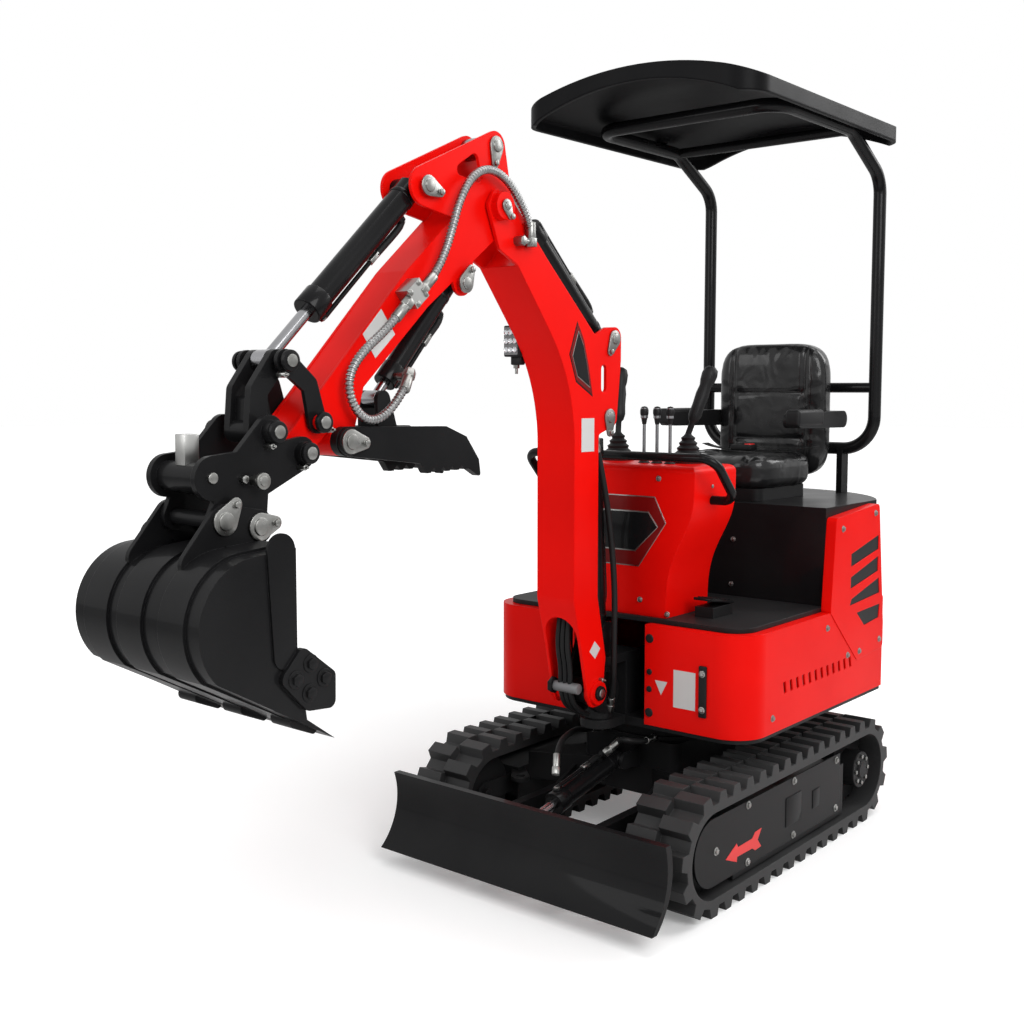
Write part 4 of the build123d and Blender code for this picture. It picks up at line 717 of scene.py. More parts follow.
def front_face(y: float) -> Matrix:
    """The upright plane at y that looks forward, with local X along X and local Y up."""
    return Matrix.Translation((0, y, 0)) @ Matrix.Rotation(math.pi / 2, 4, "X")


def ring_of(middle: Point, radius: float, count: int) -> list[Point]:
    """Places round a circle across the machine."""
    turns = [2 * math.pi * number / count for number in range(count)]
    x, y, z = middle
    return [(x, y + radius * math.cos(turn), z + radius * math.sin(turn)) for turn in turns]


@dataclass
class Undercarriage:
    """Tracks, track frames and their covers."""

    cover_x: float = 0.450
    axle_z: float = 0.165
    sprocket_y: float = 0.468
    hub_x: float = 0.445
    hub_profile: Outline = ((0.0, 0.010), (0.024, 0.010), (0.028, 0.006), (0.028, 0.003),
                                   (0.056, 0.003), (0.058, 0.0), (0.0, 0.0))
    cover_bolts: Outline = ((-0.44, 0.165), (-0.27, 0.085), (0.0, 0.085), (0.28, 0.09), (-0.27, 0.245),
                                   (0.0, 0.245), (0.28, 0.24))
    arrow: Outline = ((-0.390, 0.127), (-0.332, 0.155), (-0.324, 0.143), (-0.246, 0.144),
                             (-0.230, 0.158), (-0.193, 0.160), (-0.215, 0.132), (-0.194, 0.108),
                             (-0.228, 0.106), (-0.245, 0.116), (-0.328, 0.117), (-0.330, 0.103))
    hatches: Sequence[tuple[Flat, Flat]] = (((-0.05, 0.120), (0.045, 0.205)), ((0.12, 0.130), (0.165, 0.185)))

    def build(self) -> None:
        """Dress the tracks and frames and add their small pieces."""
        dress(RUBBER, "track_left", "track_right")
        dress(FRAME, "car_body", "track_frames", "sprockets", "idlers", "rollers", "slew_bearing")
        dress(BLACK, "side_covers")
        for side in Side:
            sign = side.value
            side_bolts("cover_bolts", "undercarriage", side, self.cover_x, self.cover_bolts, 0.008)
            axle = (sign * self.hub_x, self.sprocket_y, self.axle_z)
            cap = Shape().lathe(self.hub_profile, axle, (sign, 0, 0), 40)
            cap.done(f"hub_cap_{side.tag}", FRAME, "undercarriage")
            spots = ring_of((sign * (self.hub_x + 0.003), self.sprocket_y, self.axle_z), 0.042, 8)
            Bolts(f"hub_bolts_{side.tag}", "undercarriage", spots, (sign, 0, 0), 0.007, washer=0.0).build()
            plates = Shape()
            for low, high in self.hatches:
                plates.block((sign * self.cover_x, *low), (sign * (self.cover_x + 0.002), *high))
            plates.bevel(0.0008).done(f"cover_hatches_{side.tag}", BLACK, "undercarriage")
            arrow = Shape().side_slab(self.arrow, sign * self.cover_x, sign * FILM)
            arrow.done(f"arrow_{side.tag}", DECAL, "undercarriage")


@dataclass
class Blade:
    """The dozer blade and its cylinder."""

    def build(self) -> None:
        """Dress the blade and its cylinder, and add the hoses of the cylinder."""
        dress(BLACK, "blade")
        dress(GLOSS, "blade_cylinder_barrel")
        dress(CHROME, "blade_cylinder_rod")
        Ram("blade_barrel", PINS["blade_cylinder_pivot"], BLADE_EYE, 0.029, 0.301, -1.0).build()
        for number, (x, along) in enumerate(((0.035, -0.34), (-0.035, -0.50))):
            leaves, joins = (2.0 * x, along + 0.02, 0.36), (3.0 * x, -0.25, 0.355)
            span = Span("blade_barrel", "undercarriage", leaves, joins)
            points = [(x, along, 0.335 + 0.2 * (along + 0.34)), (1.6 * x, along + 0.03, 0.365),
                      (2.6 * x, -0.34, 0.375), (3.0 * x, -0.27, 0.355), (2.6 * x, -0.20, 0.350)]
            Hose(f"blade_hose_{number}", span, points, 0.0085).build()


@dataclass
class UpperBody:
    """Skirts, hood, panels and floor on the turntable."""

    front_y: float = -0.295
    side_x: float = 0.455
    panel_x: float = 0.457
    hood_y: float = 0.222
    plugs: Sequence[tuple[float, float]] = ((0.669, 0.013), (0.573, 0.009), (0.523, 0.009), (0.455, 0.013))
    plug_x: float = 0.141
    tail: tuple[float, float, float] = (0.425, 0.5903, 0.8740)
    slot_z: float = 0.770
    pedal: Point = (0.240, -0.110, 0.762)
    strip: tuple[float, float, float, float] = (0.306, 0.330, 0.470, 0.615)
    skirt_bolts: Outline = ((0.186, 0.665), (-0.150, 0.461), (0.330, 0.560))
    panel_bolts: Outline = ((0.275, 0.955), (0.510, 0.985), (0.560, 0.575), (0.410, 0.560))
    hood_bolts: Outline = ((0.113, 0.902), (0.108, 0.759))
    labels: Sequence[Outline] = (
        ((0.222, 0.484), (0.293, 0.484), (0.293, 0.591), (0.222, 0.591)),
        ((0.160, 0.552), (0.181, 0.512), (0.202, 0.552)),
    )
    claws: Sequence[Outline] = (
        ((0.338, 0.872), (0.540, 0.914), (0.540, 0.868), (0.338, 0.832)),
        ((0.338, 0.800), (0.540, 0.846), (0.540, 0.798), (0.338, 0.764)),
        ((0.334, 0.712), (0.346, 0.732), (0.548, 0.776), (0.556, 0.726)),
        ((0.386, 0.684), (0.560, 0.690), (0.552, 0.646), (0.444, 0.636)),
    )

    def build(self) -> None:
        """Dress the panels and add plugs, bolts, vent screens and blank plates."""
        dress(RED, "skirt_left", "skirt_right", "counterweight", "rear_cover")
        dress(RED, "side_panel_left", "side_panel_right")
        dress(BLACK, "hood")
        dress(FRAME, "turntable", "seat_mount")
        dress(MAT, "floor_mat")
        dress(CAST, "engine_block")
        plugs = Shape()
        for z, radius in self.plugs:
            profile = [(0, 0.004), (0.8 * radius, 0.0035), (radius, 0.001), (radius, -0.001), (0, -0.001)]
            plugs.lathe(profile, (self.plug_x, self.front_y, z), (0, -1, 0))
        plugs.done("front_plugs", PLASTIC, "upper")
        low, high, foot, top = self.strip
        strip = Shape().block((low, self.front_y - 0.007, foot), (high, self.front_y + 0.001, top))
        strip.bevel(0.003, 3).done("front_strip", PLASTIC, "upper")
        spots = [((low + high) / 2, self.front_y - 0.007, z) for z in (foot + 0.022, top - 0.022)]
        Bolts("strip_bolts", "upper", spots, (0, -1, 0), 0.007).build()
        labels = Shape()
        for label in self.labels:
            labels.slab(label, FILM, front_face(self.front_y))
        labels.done("front_plates", LABEL, "upper")
        for side in Side:
            side_bolts("skirt_bolts", "upper", side, self.side_x, self.skirt_bolts)
            side_bolts("panel_bolts", "upper", side, self.panel_x, self.panel_bolts)
            screens = Shape()
            for claw in self.claws:
                screens.side_slab(claw, side.value * (self.panel_x - 0.0052), side.value * 0.0032)
            screens.done(f"vent_screens_{side.tag}", PLASTIC, "upper")
        spots = [(side.value * x, self.hood_y, z) for side in Side for x, z in self.hood_bolts]
        Bolts("hood_bolts", "upper", spots, (0, -1, 0), 0.006).build()
        self._pedals()
        self._tail()

    def _tail(self) -> None:
        """Make the vent slots and the lock of the curved rear cover."""
        half, start, end = self.tail
        radius = (half * half + (end - start) ** 2) / (2 * (end - start))
        slots = Shape()
        for row in range(5):
            for middle in (-0.36, 0.0, 0.36):
                path = []
                for step in range(-5, 6):
                    x = half * (middle + 0.026 * step)
                    y = end - radius + math.sqrt(radius * radius - x * x)
                    path.append(Vector((x, y, self.slot_z + 0.030 * row)))
                slots.sweep(path, [0.0045] * len(path), 10)
        slots.done("tail_slots", PLASTIC, "upper", TUBE_SMOOTH)
        lock = [(0.0, end, self.slot_z + 0.165)]
        Bolts("tail_lock", "upper", lock, (0, 1, 0), 0.011, 0.004, 1.6, 28).build()

    def _pedals(self) -> None:
        """Make both pedals as tilted treads on their feet."""
        dress(FRAME, "pedals")
        treads = Shape()
        for side in Side:
            place = Matrix.Translation((side.value * self.pedal[0], *self.pedal[1:]))
            tilt = place @ Matrix.Rotation(math.radians(-9), 4, "X")
            treads.slab(oblong(0.032, 0.062), 0.008, tilt)
            for row in range(5):
                rib = tilt @ Matrix.Translation((0, -0.044 + 0.022 * row, 0.008))
                treads.slab(oblong(0.028, 0.004), 0.003, rib)
        treads.bevel(CHAMFER).done("pedal_treads", BLACK, "upper")


@dataclass
class Console:
    """The control console with its sticks, levers and rail."""

    front_y: float = -0.250
    top_z: float = 1.158
    stick: Flat = (0.125, -0.075)
    boot: float = 0.085
    lean: Flat = (0.036, 0.062)
    lever_x: Sequence[float] = (0.020, 0.065, 0.110)
    lever_y: float = -0.150
    lever_top: float = 1.320
    badge: Outline = ((-0.122, 1.065), (-0.159, 0.994), (-0.070, 0.869), (0.070, 0.869),
                             (0.159, 0.994), (0.122, 1.065))
    badge_z: float = 0.967
    badge_bevel: float = 0.0006
    badge_layers: Sequence[tuple[str, Finish, float, float, float]] = (
        ("badge_edge", ZINC, 1.03, 1.05, 0.0012), ("badge_rim", DEEP, 1.015, 1.02, 0.003),
        ("badge_line", ZINC, 0.87, 0.60, 0.0036), ("badge_plate", GLOSS, 0.85, 0.56, 0.0046),
    )
    bolts: Outline = ((0.077, 0.768), (0.137, 1.122), (0.170, 0.735))
    grip: Outline = (
        (0.0, -0.012), (0.009, -0.012), (0.009, 0.036), (0.015, 0.042), (0.0195, 0.060), (0.0185, 0.090),
        (0.0200, 0.125), (0.0175, 0.150), (0.0215, 0.166), (0.0235, 0.188), (0.0200, 0.204), (0.010, 0.212),
        (0.0, 0.213),
    )
    knob: Outline = ((0.0, -0.048), (0.0062, -0.048), (0.008, -0.036), (0.0125, -0.016),
                            (0.0125, -0.006), (0.008, 0.003), (0.0, 0.005))
    lever_boot: Outline = ((0.0, 0.030), (0.007, 0.030), (0.010, 0.022), (0.009, 0.018),
                                  (0.014, 0.010), (0.012, 0.007), (0.018, 0.0), (0.0, 0.0))

    def build(self) -> None:
        """Dress the console and make its controls."""
        dress(RED, "console")
        dress(GLOSS, "handrail")
        dress(CHROME, "levers")
        for name, finish, wide, tall, rise in self.badge_layers:
            points = [(wide * x, self.badge_z + tall * (z - self.badge_z)) for x, z in self.badge]
            layer = Shape().slab(points, rise, front_face(self.front_y))
            layer.bevel(self.badge_bevel).done(name, finish, "upper")
        spots = [(side.value * x, self.front_y, z) for side in Side for x, z in self.bolts]
        Bolts("console_bolts", "upper", spots, (0, -1, 0), 0.006).build()
        for side in Side:
            side_bolts("console_bolt", "upper", side, 0.2515, ((-0.153, 1.100),), 0.006)
        self._sticks()
        self._knobs()

    def _sticks(self) -> None:
        """Make both joysticks with ribbed boots and shaped, leaning grips."""
        shape = Shape()
        for side in Side:
            place = Vector((side.value * self.stick[0], self.stick[1], self.top_z))
            profile = [(0.0, 0.0), (0.050, 0.0), (0.050, 0.006)]
            for rib in range(5):
                size = 0.043 - 0.006 * rib
                foot = 0.008 + 0.015 * rib
                profile += [(size, foot), (size + 0.003, foot + 0.006), (size - 0.006, foot + 0.013)]
            shape.lathe(profile + [(0.010, self.boot), (0.0, self.boot)], place)
            way = Vector((side.value * self.lean[0], self.lean[1], 0.182))
            shape.lathe(self.grip, place + Vector((0, 0, self.boot)), way)
        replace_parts(shape.done("stick_grips", PLASTIC, "upper", TURNED_SMOOTH), "joysticks")

    def _knobs(self) -> None:
        """Make the knobs and boots of the small levers."""
        shape = Shape()
        for x in self.lever_x:
            shape.lathe(self.knob, (x, self.lever_y, self.lever_top))
            shape.lathe(self.lever_boot, (x, self.lever_y, self.top_z))
        shape.done("lever_knobs", PLASTIC, "upper", TURNED_SMOOTH)


@dataclass
class Seat:
    """The padded seat with its arm rests and belt."""

    cushion: tuple[Point, Point] = ((-0.215, 0.235, 1.060), (0.215, 0.645, 1.165))
    back: tuple[Point, Point] = ((-0.216, 0.6455, 1.060), (0.216, 0.740, 1.548))
    arm_pad: tuple[Point, Point] = ((0.212, 0.358, 1.256), (0.264, 0.540, 1.310))
    corner: float = 0.42
    steps: int = 56
    margin: float = 0.002
    swelling: float = 0.008
    seam_at: float = 0.62
    pleats: Flat = (0.3, 0.62)
    dip: float = 0.012
    dip_depth: float = 0.055

    def build(self) -> None:
        """Make the pads and dress the rest."""
        dress(PLASTIC, "armrests")
        pads = Shape()
        for side in Side:
            low, high = ((side.value * x, y, z) for x, y, z in self.arm_pad)
            pads.block(low, high)
        pads.bevel(0.012, 4).done("arm_pads", PLASTIC, "upper")
        seat = self._pad("seat_pad", self.cushion, 2)
        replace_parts(seat, "seat_cushion")
        back = self._pad("back_pad", self.back, 1)
        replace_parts(back, "seat_back")
        self._belt()

    def _pad(self, name: str, box: tuple[Point, Point], up: int) -> bpy.types.Object:
        """Make one stuffed pad with a rounded outline that swells between sewn channels.

        Args:
            name: The piece's name.
            box: Its lowest and highest corners.
            up: The axis that the sitting face looks along, 1 for -Y or 2 for +Z.
        """
        low, high = Vector(box[0]), Vector(box[1])
        size = high - low
        middle = (low + high) / 2
        along = 1 if up == 2 else 2
        points = []
        for step in range(self.steps):
            angle = 2 * math.pi * (step + 0.5) / self.steps
            ways = (math.cos(angle), math.sin(angle))
            across, height = (math.copysign(abs(way) ** self.corner, way) for way in ways)
            points.append((0.48 * size.x * across, 0.48 * size[along] * height))
        foot = Matrix.Translation((middle.x, middle.y, low.z + self.margin))
        if up == 1:
            foot = Matrix.Translation((middle.x, 0, middle.z)) @ front_face(high.y - self.margin)
        shape = Shape().slab(points, size[up] - 3 * self.margin, foot)
        piece = shape.bevel(0.030, 6, 60.0).done(name, VINYL, "upper", 180.0)
        swell(piece, self.swelling)
        sign, face = (1.0, high[up]) if up == 2 else (-1.0, low[up])
        for vert in piece.data.vertices:
            place = vert.co
            near = max(0.0, 1.0 - abs(place[up] - face) / self.dip_depth)
            share = abs(place.x) / (size.x / 2)
            run = (place[along] - low[along]) / size[along]
            seam = math.exp(-(((share - self.seam_at) / 0.04) ** 2))
            hollow = 0.6 * max(0.0, 1.0 - (share / self.seam_at) ** 2)
            pleat = sum(math.exp(-(((run - mark) / 0.02) ** 2)) for mark in self.pleats)
            if share >= self.seam_at:
                pleat = 0.0
            place[up] -= sign * near * self.dip * max(seam, hollow, 0.9 * pleat)
        piece.data.update()
        return piece

    def _belt(self) -> None:
        """Make the lap belt across the cushion and its buckle."""
        top = self.cushion[1][2]
        path = route([(-0.21, 0.585, top + 0.02), (-0.15, 0.53, top + 0.012), (-0.03, 0.47, top + 0.006),
                      (0.06, 0.47, top + 0.006), (0.17, 0.54, top + 0.012), (0.212, 0.59, top + 0.02)])
        belt = Shape()
        wide = Vector((0, 0.022, 0))
        rows = [(place - wide, place + wide) for place in even(path, 0.01)]
        verts = [(belt.bm.verts.new(first), belt.bm.verts.new(second)) for first, second in rows]
        edges = [belt.bm.edges.new(pair) for pair in verts]
        for first, second in zip(edges, edges[1:]):
            bmesh.ops.bridge_loops(belt.bm, edges=[first, second])
        bmesh.ops.solidify(belt.bm, geom=belt.bm.faces[:], thickness=0.0016)
        belt.done("seat_belt", HOSE, "upper")
        buckle = Shape().block((-0.03, 0.445, top + 0.006), (0.045, 0.495, top + 0.026))
        buckle.bevel(0.005, 3).done("belt_buckle", PLASTIC, "upper")
        button = Shape().block((0.018, 0.452, top + 0.02), (0.04, 0.488, top + 0.029))
        button.bevel(0.003, 3).done("belt_button", DECAL, "upper")


def swell(
    piece: bpy.types.Object, most: float, voxel: float = 0.008, pressure: float = 4.0, last: int = 20
) -> None:
    """Blow up a closed pad with cloth pressure, each point by no more than a given distance.

    Args:
        piece: The pad, changed in place.
        most: The largest move of a point.
        voxel: Size of the even mesh that the cloth needs.
        pressure: Pressure inside the cloth.
        last: The frame at which the cloth is read.
    """
    remesh = piece.modifiers.new("voxels", "REMESH")
    remesh.mode = "VOXEL"
    remesh.voxel_size = voxel
    depsgraph = bpy.context.evaluated_depsgraph_get()
    mesh = bpy.data.meshes.new_from_object(piece.evaluated_get(depsgraph))
    piece.modifiers.clear()
    old = piece.data
    piece.data = mesh
    bpy.data.meshes.remove(old)
    mesh.name = piece.name
    mesh.shade_smooth()
    before = [vert.co.copy() for vert in mesh.vertices]
    cloth = piece.modifiers.new("stuffing", "CLOTH")
    cloth.settings.use_pressure = True
    cloth.settings.uniform_pressure_force = pressure
    cloth.settings.effector_weights.gravity = 0.0
    cloth.point_cache.frame_end = last
    scene = bpy.context.scene
    for number in range(1, last + 1):
        scene.frame_set(number)
    depsgraph = bpy.context.evaluated_depsgraph_get()
    after = [vert.co.copy() for vert in piece.evaluated_get(depsgraph).data.vertices]
    piece.modifiers.clear()
    scene.frame_set(1)
    for vert, old_place, new_place in zip(mesh.vertices, before, after):
        move = new_place - old_place
        if move.length > most:
            move = move.normalized() * most
        vert.co = old_place + move
    mesh.update()


@dataclass
class Canopy:
    """The hoop and the roof."""

    def build(self) -> None:
        """Dress the hoop and the roof."""
        dress(GLOSS, "canopy_frame")
        dress(ROOF, "canopy_roof")


@dataclass
class Boom:
    """Swing bracket, boom, its lamp and its cylinders."""

    plate_x: float = 0.0635
    lamp: tuple[Point, Point] = ((-0.119, -0.630, 1.462), (-0.0645, -0.585, 1.546))
    mark: Outline = ((-0.541, 1.555), (-0.576, 1.467), (-0.546, 1.394),
                            (-0.470, 1.354), (-0.489, 1.437), (-0.511, 1.506))
    label: Outline = ((-0.520, 1.205), (-0.462, 1.205), (-0.462, 1.296), (-0.520, 1.296))
    foot_label: Outline = ((-0.478, 0.650), (-0.452, 0.626), (-0.428, 0.652), (-0.454, 0.676))
    mark_layers: Sequence[tuple[str, Finish, float, float]] = (
        ("rim", GLOSS, 1.0, 0.0006), ("edge", DEEP, 0.94, 0.0010),
        ("line", ZINC, 0.76, 0.0014), ("plate", GLOSS, 0.72, 0.0018),
    )
    sleeve: Flat = (-0.502, 0.546)
    cup: Outline = ((0.0, 0.001), (0.005, 0.001), (0.0075, 0.004), (0.0075, 0.0), (0.0, 0.0))

    def build(self) -> None:
        """Dress the boom and add its small pieces."""
        dress(RED, "boom")
        dress(BLACK, "swing_bracket")
        dress(GLOSS, "boom_cylinder_barrel", "arm_cylinder_barrel")
        dress(CHROME, "boom_cylinder_rod", "arm_cylinder_rod")
        keepers("boom_keepers", "boom", [
            Keeper(PINS["arm_cylinder_pivot"], (-0.392, 1.478), self.plate_x),
            Keeper(BOOM_EYE, (-0.392, 1.255), self.plate_x),
            Keeper(PINS["arm"], (-0.845, 1.795), self.plate_x + 0.020, 0.011),
        ])
        middle = [sum(values) / len(self.mark) for values in zip(*self.mark)]
        for side in Side:
            sign = side.value
            for name, finish, share, rise in self.mark_layers:
                points = [(middle[0] + share * (y - middle[0]), middle[1] + share * (z - middle[1]))
                          for y, z in self.mark]
                layer = Shape().side_slab(points, sign * self.plate_x, sign * rise)
                layer.done(f"boom_mark_{name}_{side.tag}", finish, "boom")
            plates = Shape()
            for points in (self.label, self.foot_label):
                plates.side_slab(points, sign * self.plate_x, sign * FILM)
            plates.done(f"boom_plates_{side.tag}", LABEL, "boom")
        Ram("boom_barrel", PINS["boom_cylinder_pivot"], BOOM_EYE, 0.031, 0.548, -1.0).build()
        Ram("arm_barrel", PINS["arm_cylinder_pivot"], ARM_EYE, 0.030, 0.412, -1.0).build()
        PinEnds("boom_foot", "boom", (PINS["boom"],), 0.0735, 0.021, (0.016, 0.034)).build()
        sleeve = Shape().bar((-0.046, *self.sleeve), (0.046, *self.sleeve), 0.015, 28)
        sleeve.bevel(0.002).done("bracket_sleeve", CAST, "swing_bracket")
        nut = Shape().bar((-0.050, *self.sleeve), (-0.036, *self.sleeve), 0.024, 6)
        nut.bevel(0.002).done("bracket_nut", BLACK, "swing_bracket")
        self._hoses()
        self._lamp()

    def _hoses(self) -> None:
        """Make the hoses that pass from the bracket into and behind the boom."""
        for number, x in enumerate((-0.0165, 0.0, 0.0165)):
            span = Span("swing_bracket", "boom", (x, -0.50, 0.50), (x, -0.51, 0.66))
            points = [(x, -0.420, 0.455), (x, -0.480, 0.480), (x, -0.506, 0.540), (x, -0.502, 0.600),
                      (x, -0.518, 0.660), (x, -0.514, 0.720), (x, -0.498, 0.800)]
            Hose(f"foot_hose_{number}", span, points, 0.0074, fitting=0.0).build()
        for side in Side:
            sign = side.value
            span = Span("swing_bracket", "boom", (sign * 0.078, -0.380, 0.58), (sign * 0.074, -0.372, 0.80))
            points = [
                (sign * 0.046, -0.350, 0.470), (sign * 0.064, -0.365, 0.520), (sign * 0.078, -0.380, 0.600),
                (sign * 0.078, -0.380, 0.690), (sign * 0.074, -0.372, 0.800), (sign * 0.062, -0.372, 0.950),
                (sign * 0.050, -0.395, 1.120), (sign * 0.046, -0.430, 1.230),
            ]
            Hose(f"back_hose_{side.tag}", span, points, 0.0085, fitting=0.03).build()

    def _lamp(self) -> None:
        """Make the work lamp: rimmed case, dark reflector with nine bright cups, and its bracket."""
        low, high = Vector(self.lamp[0]), Vector(self.lamp[1])
        middle = (low + high) / 2
        case = Shape().block(low, high)
        heel = Vector((low.x + 0.014, low.y + 0.012, low.z - 0.022))
        case.block(heel, (high.x - 0.006, high.y - 0.010, low.z + 0.002))
        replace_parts(case.bevel(0.004, 3).done("lamp_case", PLASTIC, "boom"), "work_lamp")
        corner = Vector((low.x + 0.005, low.y - 0.001, low.z + 0.005))
        reflector = Shape().block(corner, (high.x - 0.005, low.y + 0.004, high.z - 0.005))
        reflector.done("lamp_reflector", CAST, "boom")
        cups = Shape()
        step = (high - low) / 3.6
        for column in (-1, 0, 1):
            for row in (-1, 0, 1):
                place = (middle.x + column * step.x, low.y - 0.001, middle.z + row * step.z)
                cups.lathe(self.cup, place, (0, -1, 0), 20)
        cups.done("lamp_cups", LENS, "boom")
        root = (middle.x, middle.y, low.z - 0.022)
        screw = Shape().bar(root, (middle.x, middle.y, low.z - 0.046), 0.004, 14)
        screw.bar(root, (middle.x, middle.y, low.z - 0.031), 0.0085, 6)
        screw.done("lamp_screw", ZINC, "boom")


@dataclass
class Arm:
    """The arm with its valve block, hoses and cylinders."""

    hose_x: float = 0.079
    hose_radius: float = 0.0105
    braid: float = 0.009
    keeper_x: float = 0.050
    block_x: float = 0.090
    block: Flat = (-1.175, 1.590)
    plug_pitch: float = 0.024
    elbow_z: float = 1.742
    inlet: Flat = (-1.186, 1.404)
    label: Outline = ((-1.311, 1.495), (-1.254, 1.553), (-1.211, 1.498), (-1.273, 1.443))
    tail_route: Outline = (
        (-0.758, 1.746), (-0.758, 1.772), (-0.786, 1.823), (-0.848, 1.886), (-0.922, 1.905), (-0.983, 1.874),
        (-1.025, 1.813), (-1.049, 1.747), (-1.073, 1.693), (-1.109, 1.637), (-1.148, 1.603),
    )
    thumb_route: Outline = (
        (-1.205, 1.562), (-1.260, 1.510), (-1.344, 1.452), (-1.380, 1.404), (-1.378, 1.355), (-1.346, 1.314),
        (-1.303, 1.304), (-1.255, 1.328), (-1.208, 1.380),
    )

    def build(self) -> None:
        """Dress the arm and add keepers, rams and hoses."""
        dress(RED, "arm")
        dress(ALLOY, "valve_block")
        dress(GLOSS, "bucket_cylinder_barrel", "thumb_cylinder_barrel")
        dress(CHROME, "bucket_cylinder_rod", "thumb_cylinder_rod")
        keepers("arm_keepers", "arm", [
            Keeper(ARM_EYE, (-0.866, 1.925), self.keeper_x),
            Keeper(PINS["bucket_cylinder_pivot"], (-1.072, 1.829), self.keeper_x + 0.010),
            Keeper(PINS["thumb_cylinder_pivot"], (-0.966, 1.660), self.keeper_x + 0.010),
        ])
        Ram("bucket_barrel", PINS["bucket_cylinder_pivot"], PINS["bucket_link"], 0.030, 0.436).build()
        Ram("thumb_barrel", PINS["thumb_cylinder_pivot"], THUMB_EYE, 0.024, 0.320).build()
        plates = Shape()
        for side in Side:
            plates.side_slab(self.label, side.value * self.keeper_x, side.value * FILM)
        plates.done("arm_plates", LABEL, "arm")
        self._hoses()
        y, z = self.block
        spots = [(self.block_x, y + self.plug_pitch * right, z + self.plug_pitch * up)
                 for right, up in ((-1, 0), (0, -1), (1, 0), (0, 1))]
        Bolts("block_plugs", "arm", spots, (1, 0, 0), 0.006, 0.003, washer=1.3).build()

    def _hoses(self) -> None:
        """Make both braided hoses and what they screw into."""
        x = self.hose_x
        span = Span("boom", "arm", (x, -0.790, 1.80), (x, -0.95, 1.89))
        points = [(x, *spot) for spot in self.tail_route]
        Hose("hose_over_tail", span, points, self.hose_radius, BRAID, self.braid).build()
        span = Span("arm", "thumb_barrel", (x, -1.33, 1.32), (x, -1.20, 1.39))
        points = [(x, *spot) for spot in self.thumb_route] + [(x - 0.012, *self.inlet)]
        Hose("hose_to_thumb", span, points, self.hose_radius, BRAID, self.braid).build()
        elbow = Shape()
        elbow.bar((x, -0.758, self.elbow_z), (x, -0.800, self.elbow_z), 0.0085, 16)
        elbow.bar((0.060, -0.797, self.elbow_z), (x + 0.012, -0.797, self.elbow_z), 0.013, 6)
        elbow.bevel(CHAMFER).done("boom_elbow", ZINC, "boom")
        inlet = Shape().bar((0.018, *self.inlet), (x - 0.010, *self.inlet), 0.0095, 16)
        inlet.bevel(CHAMFER).done("thumb_inlet", ZINC, "thumb_barrel")


@dataclass
class Tools:
    """Linkage, quick hitch, bucket and thumb."""

    bucket_x: float = 0.093
    cutter_x: float = 0.218
    thumb_x: float = 0.071
    collar: float = 0.010
    thumb_bolt: Flat = (-1.338, 1.258)
    cutter_bolts: Outline = ((-1.656, 0.812), (-1.618, 0.838), (-1.622, 0.780), (-1.584, 0.804))
    lock_pin: Flat = (-1.641, 1.193)
    lock_bolt: Flat = (-1.668, 1.197)
    nose_pin: Flat = (-1.741, 1.203)

    def build(self) -> None:
        """Dress the digging end and add keepers, bolts and the hitch's lever."""
        dress(BLACK, "rocker_links", "bucket_link", "quick_hitch", "bucket", "thumb")
        keepers("bucket_keepers", "bucket", [
            Keeper((-1.723, 1.118), (-1.698, 1.150), self.bucket_x, 0.019),
            Keeper((-1.638, 1.101), (-1.600, 1.106), self.bucket_x, 0.019),
        ])
        keeper = Keeper(PINS["thumb"], self.thumb_bolt, self.thumb_x + self.collar, 0.018)
        keepers("thumb_keepers", "thumb", [keeper])
        collars = Shape()
        for side in Side:
            inner, outer = side.value * self.thumb_x, side.value * (self.thumb_x + self.collar)
            collars.bar((inner, *PINS["thumb"]), (outer, *PINS["thumb"]), 0.030, 36)
            collars.bar((inner, *self.thumb_bolt), (outer, *self.thumb_bolt), 0.011, 20)
        collars.bevel(CHAMFER).done("thumb_collars", BLACK, "thumb")
        for side in Side:
            sign = side.value
            spots = [(sign * self.cutter_x, y, z) for y, z in self.cutter_bolts]
            name = f"cutter_bolts_{side.tag}"
            Bolts(name, "bucket", spots, (sign, 0, 0), 0.013, 0.010, finish=BLACK).build()
        PinEnds("hitch", "bucket", (PINS["bucket"], LINK_FOOT), 0.100).build()
        PinEnds("rocker", "rocker", (PINS["bucket_link"],), 0.076).build()
        PinEnds("rocker_foot", "arm", (PINS["rocker"],), 0.080, nipple=(0.024, -0.016)).build()
        lever = Shape().block((-0.016, -1.757, 1.225), (0.016, -1.722, 1.287))
        lever.bevel(0.002).done("hitch_lever", ALLOY, "bucket")
        lock = Shape()
        for side in Side:
            for spot, near, far, first, last, sides in (
                (self.lock_pin, 0.078, 0.116, 0.0105, 0.0105, 24),
                (self.lock_pin, 0.104, 0.114, 0.017, 0.017, 28),
                (self.lock_bolt, 0.078, 0.092, 0.009, 0.009, 6),
                (self.nose_pin, 0.078, 0.086, 0.012, 0.011, 24),
            ):
                lock.cone((side.value * near, *spot), (side.value * far, *spot), first, last, sides)
        lock.bevel(CHAMFER).done("hitch_lock", ZINC, "bucket")


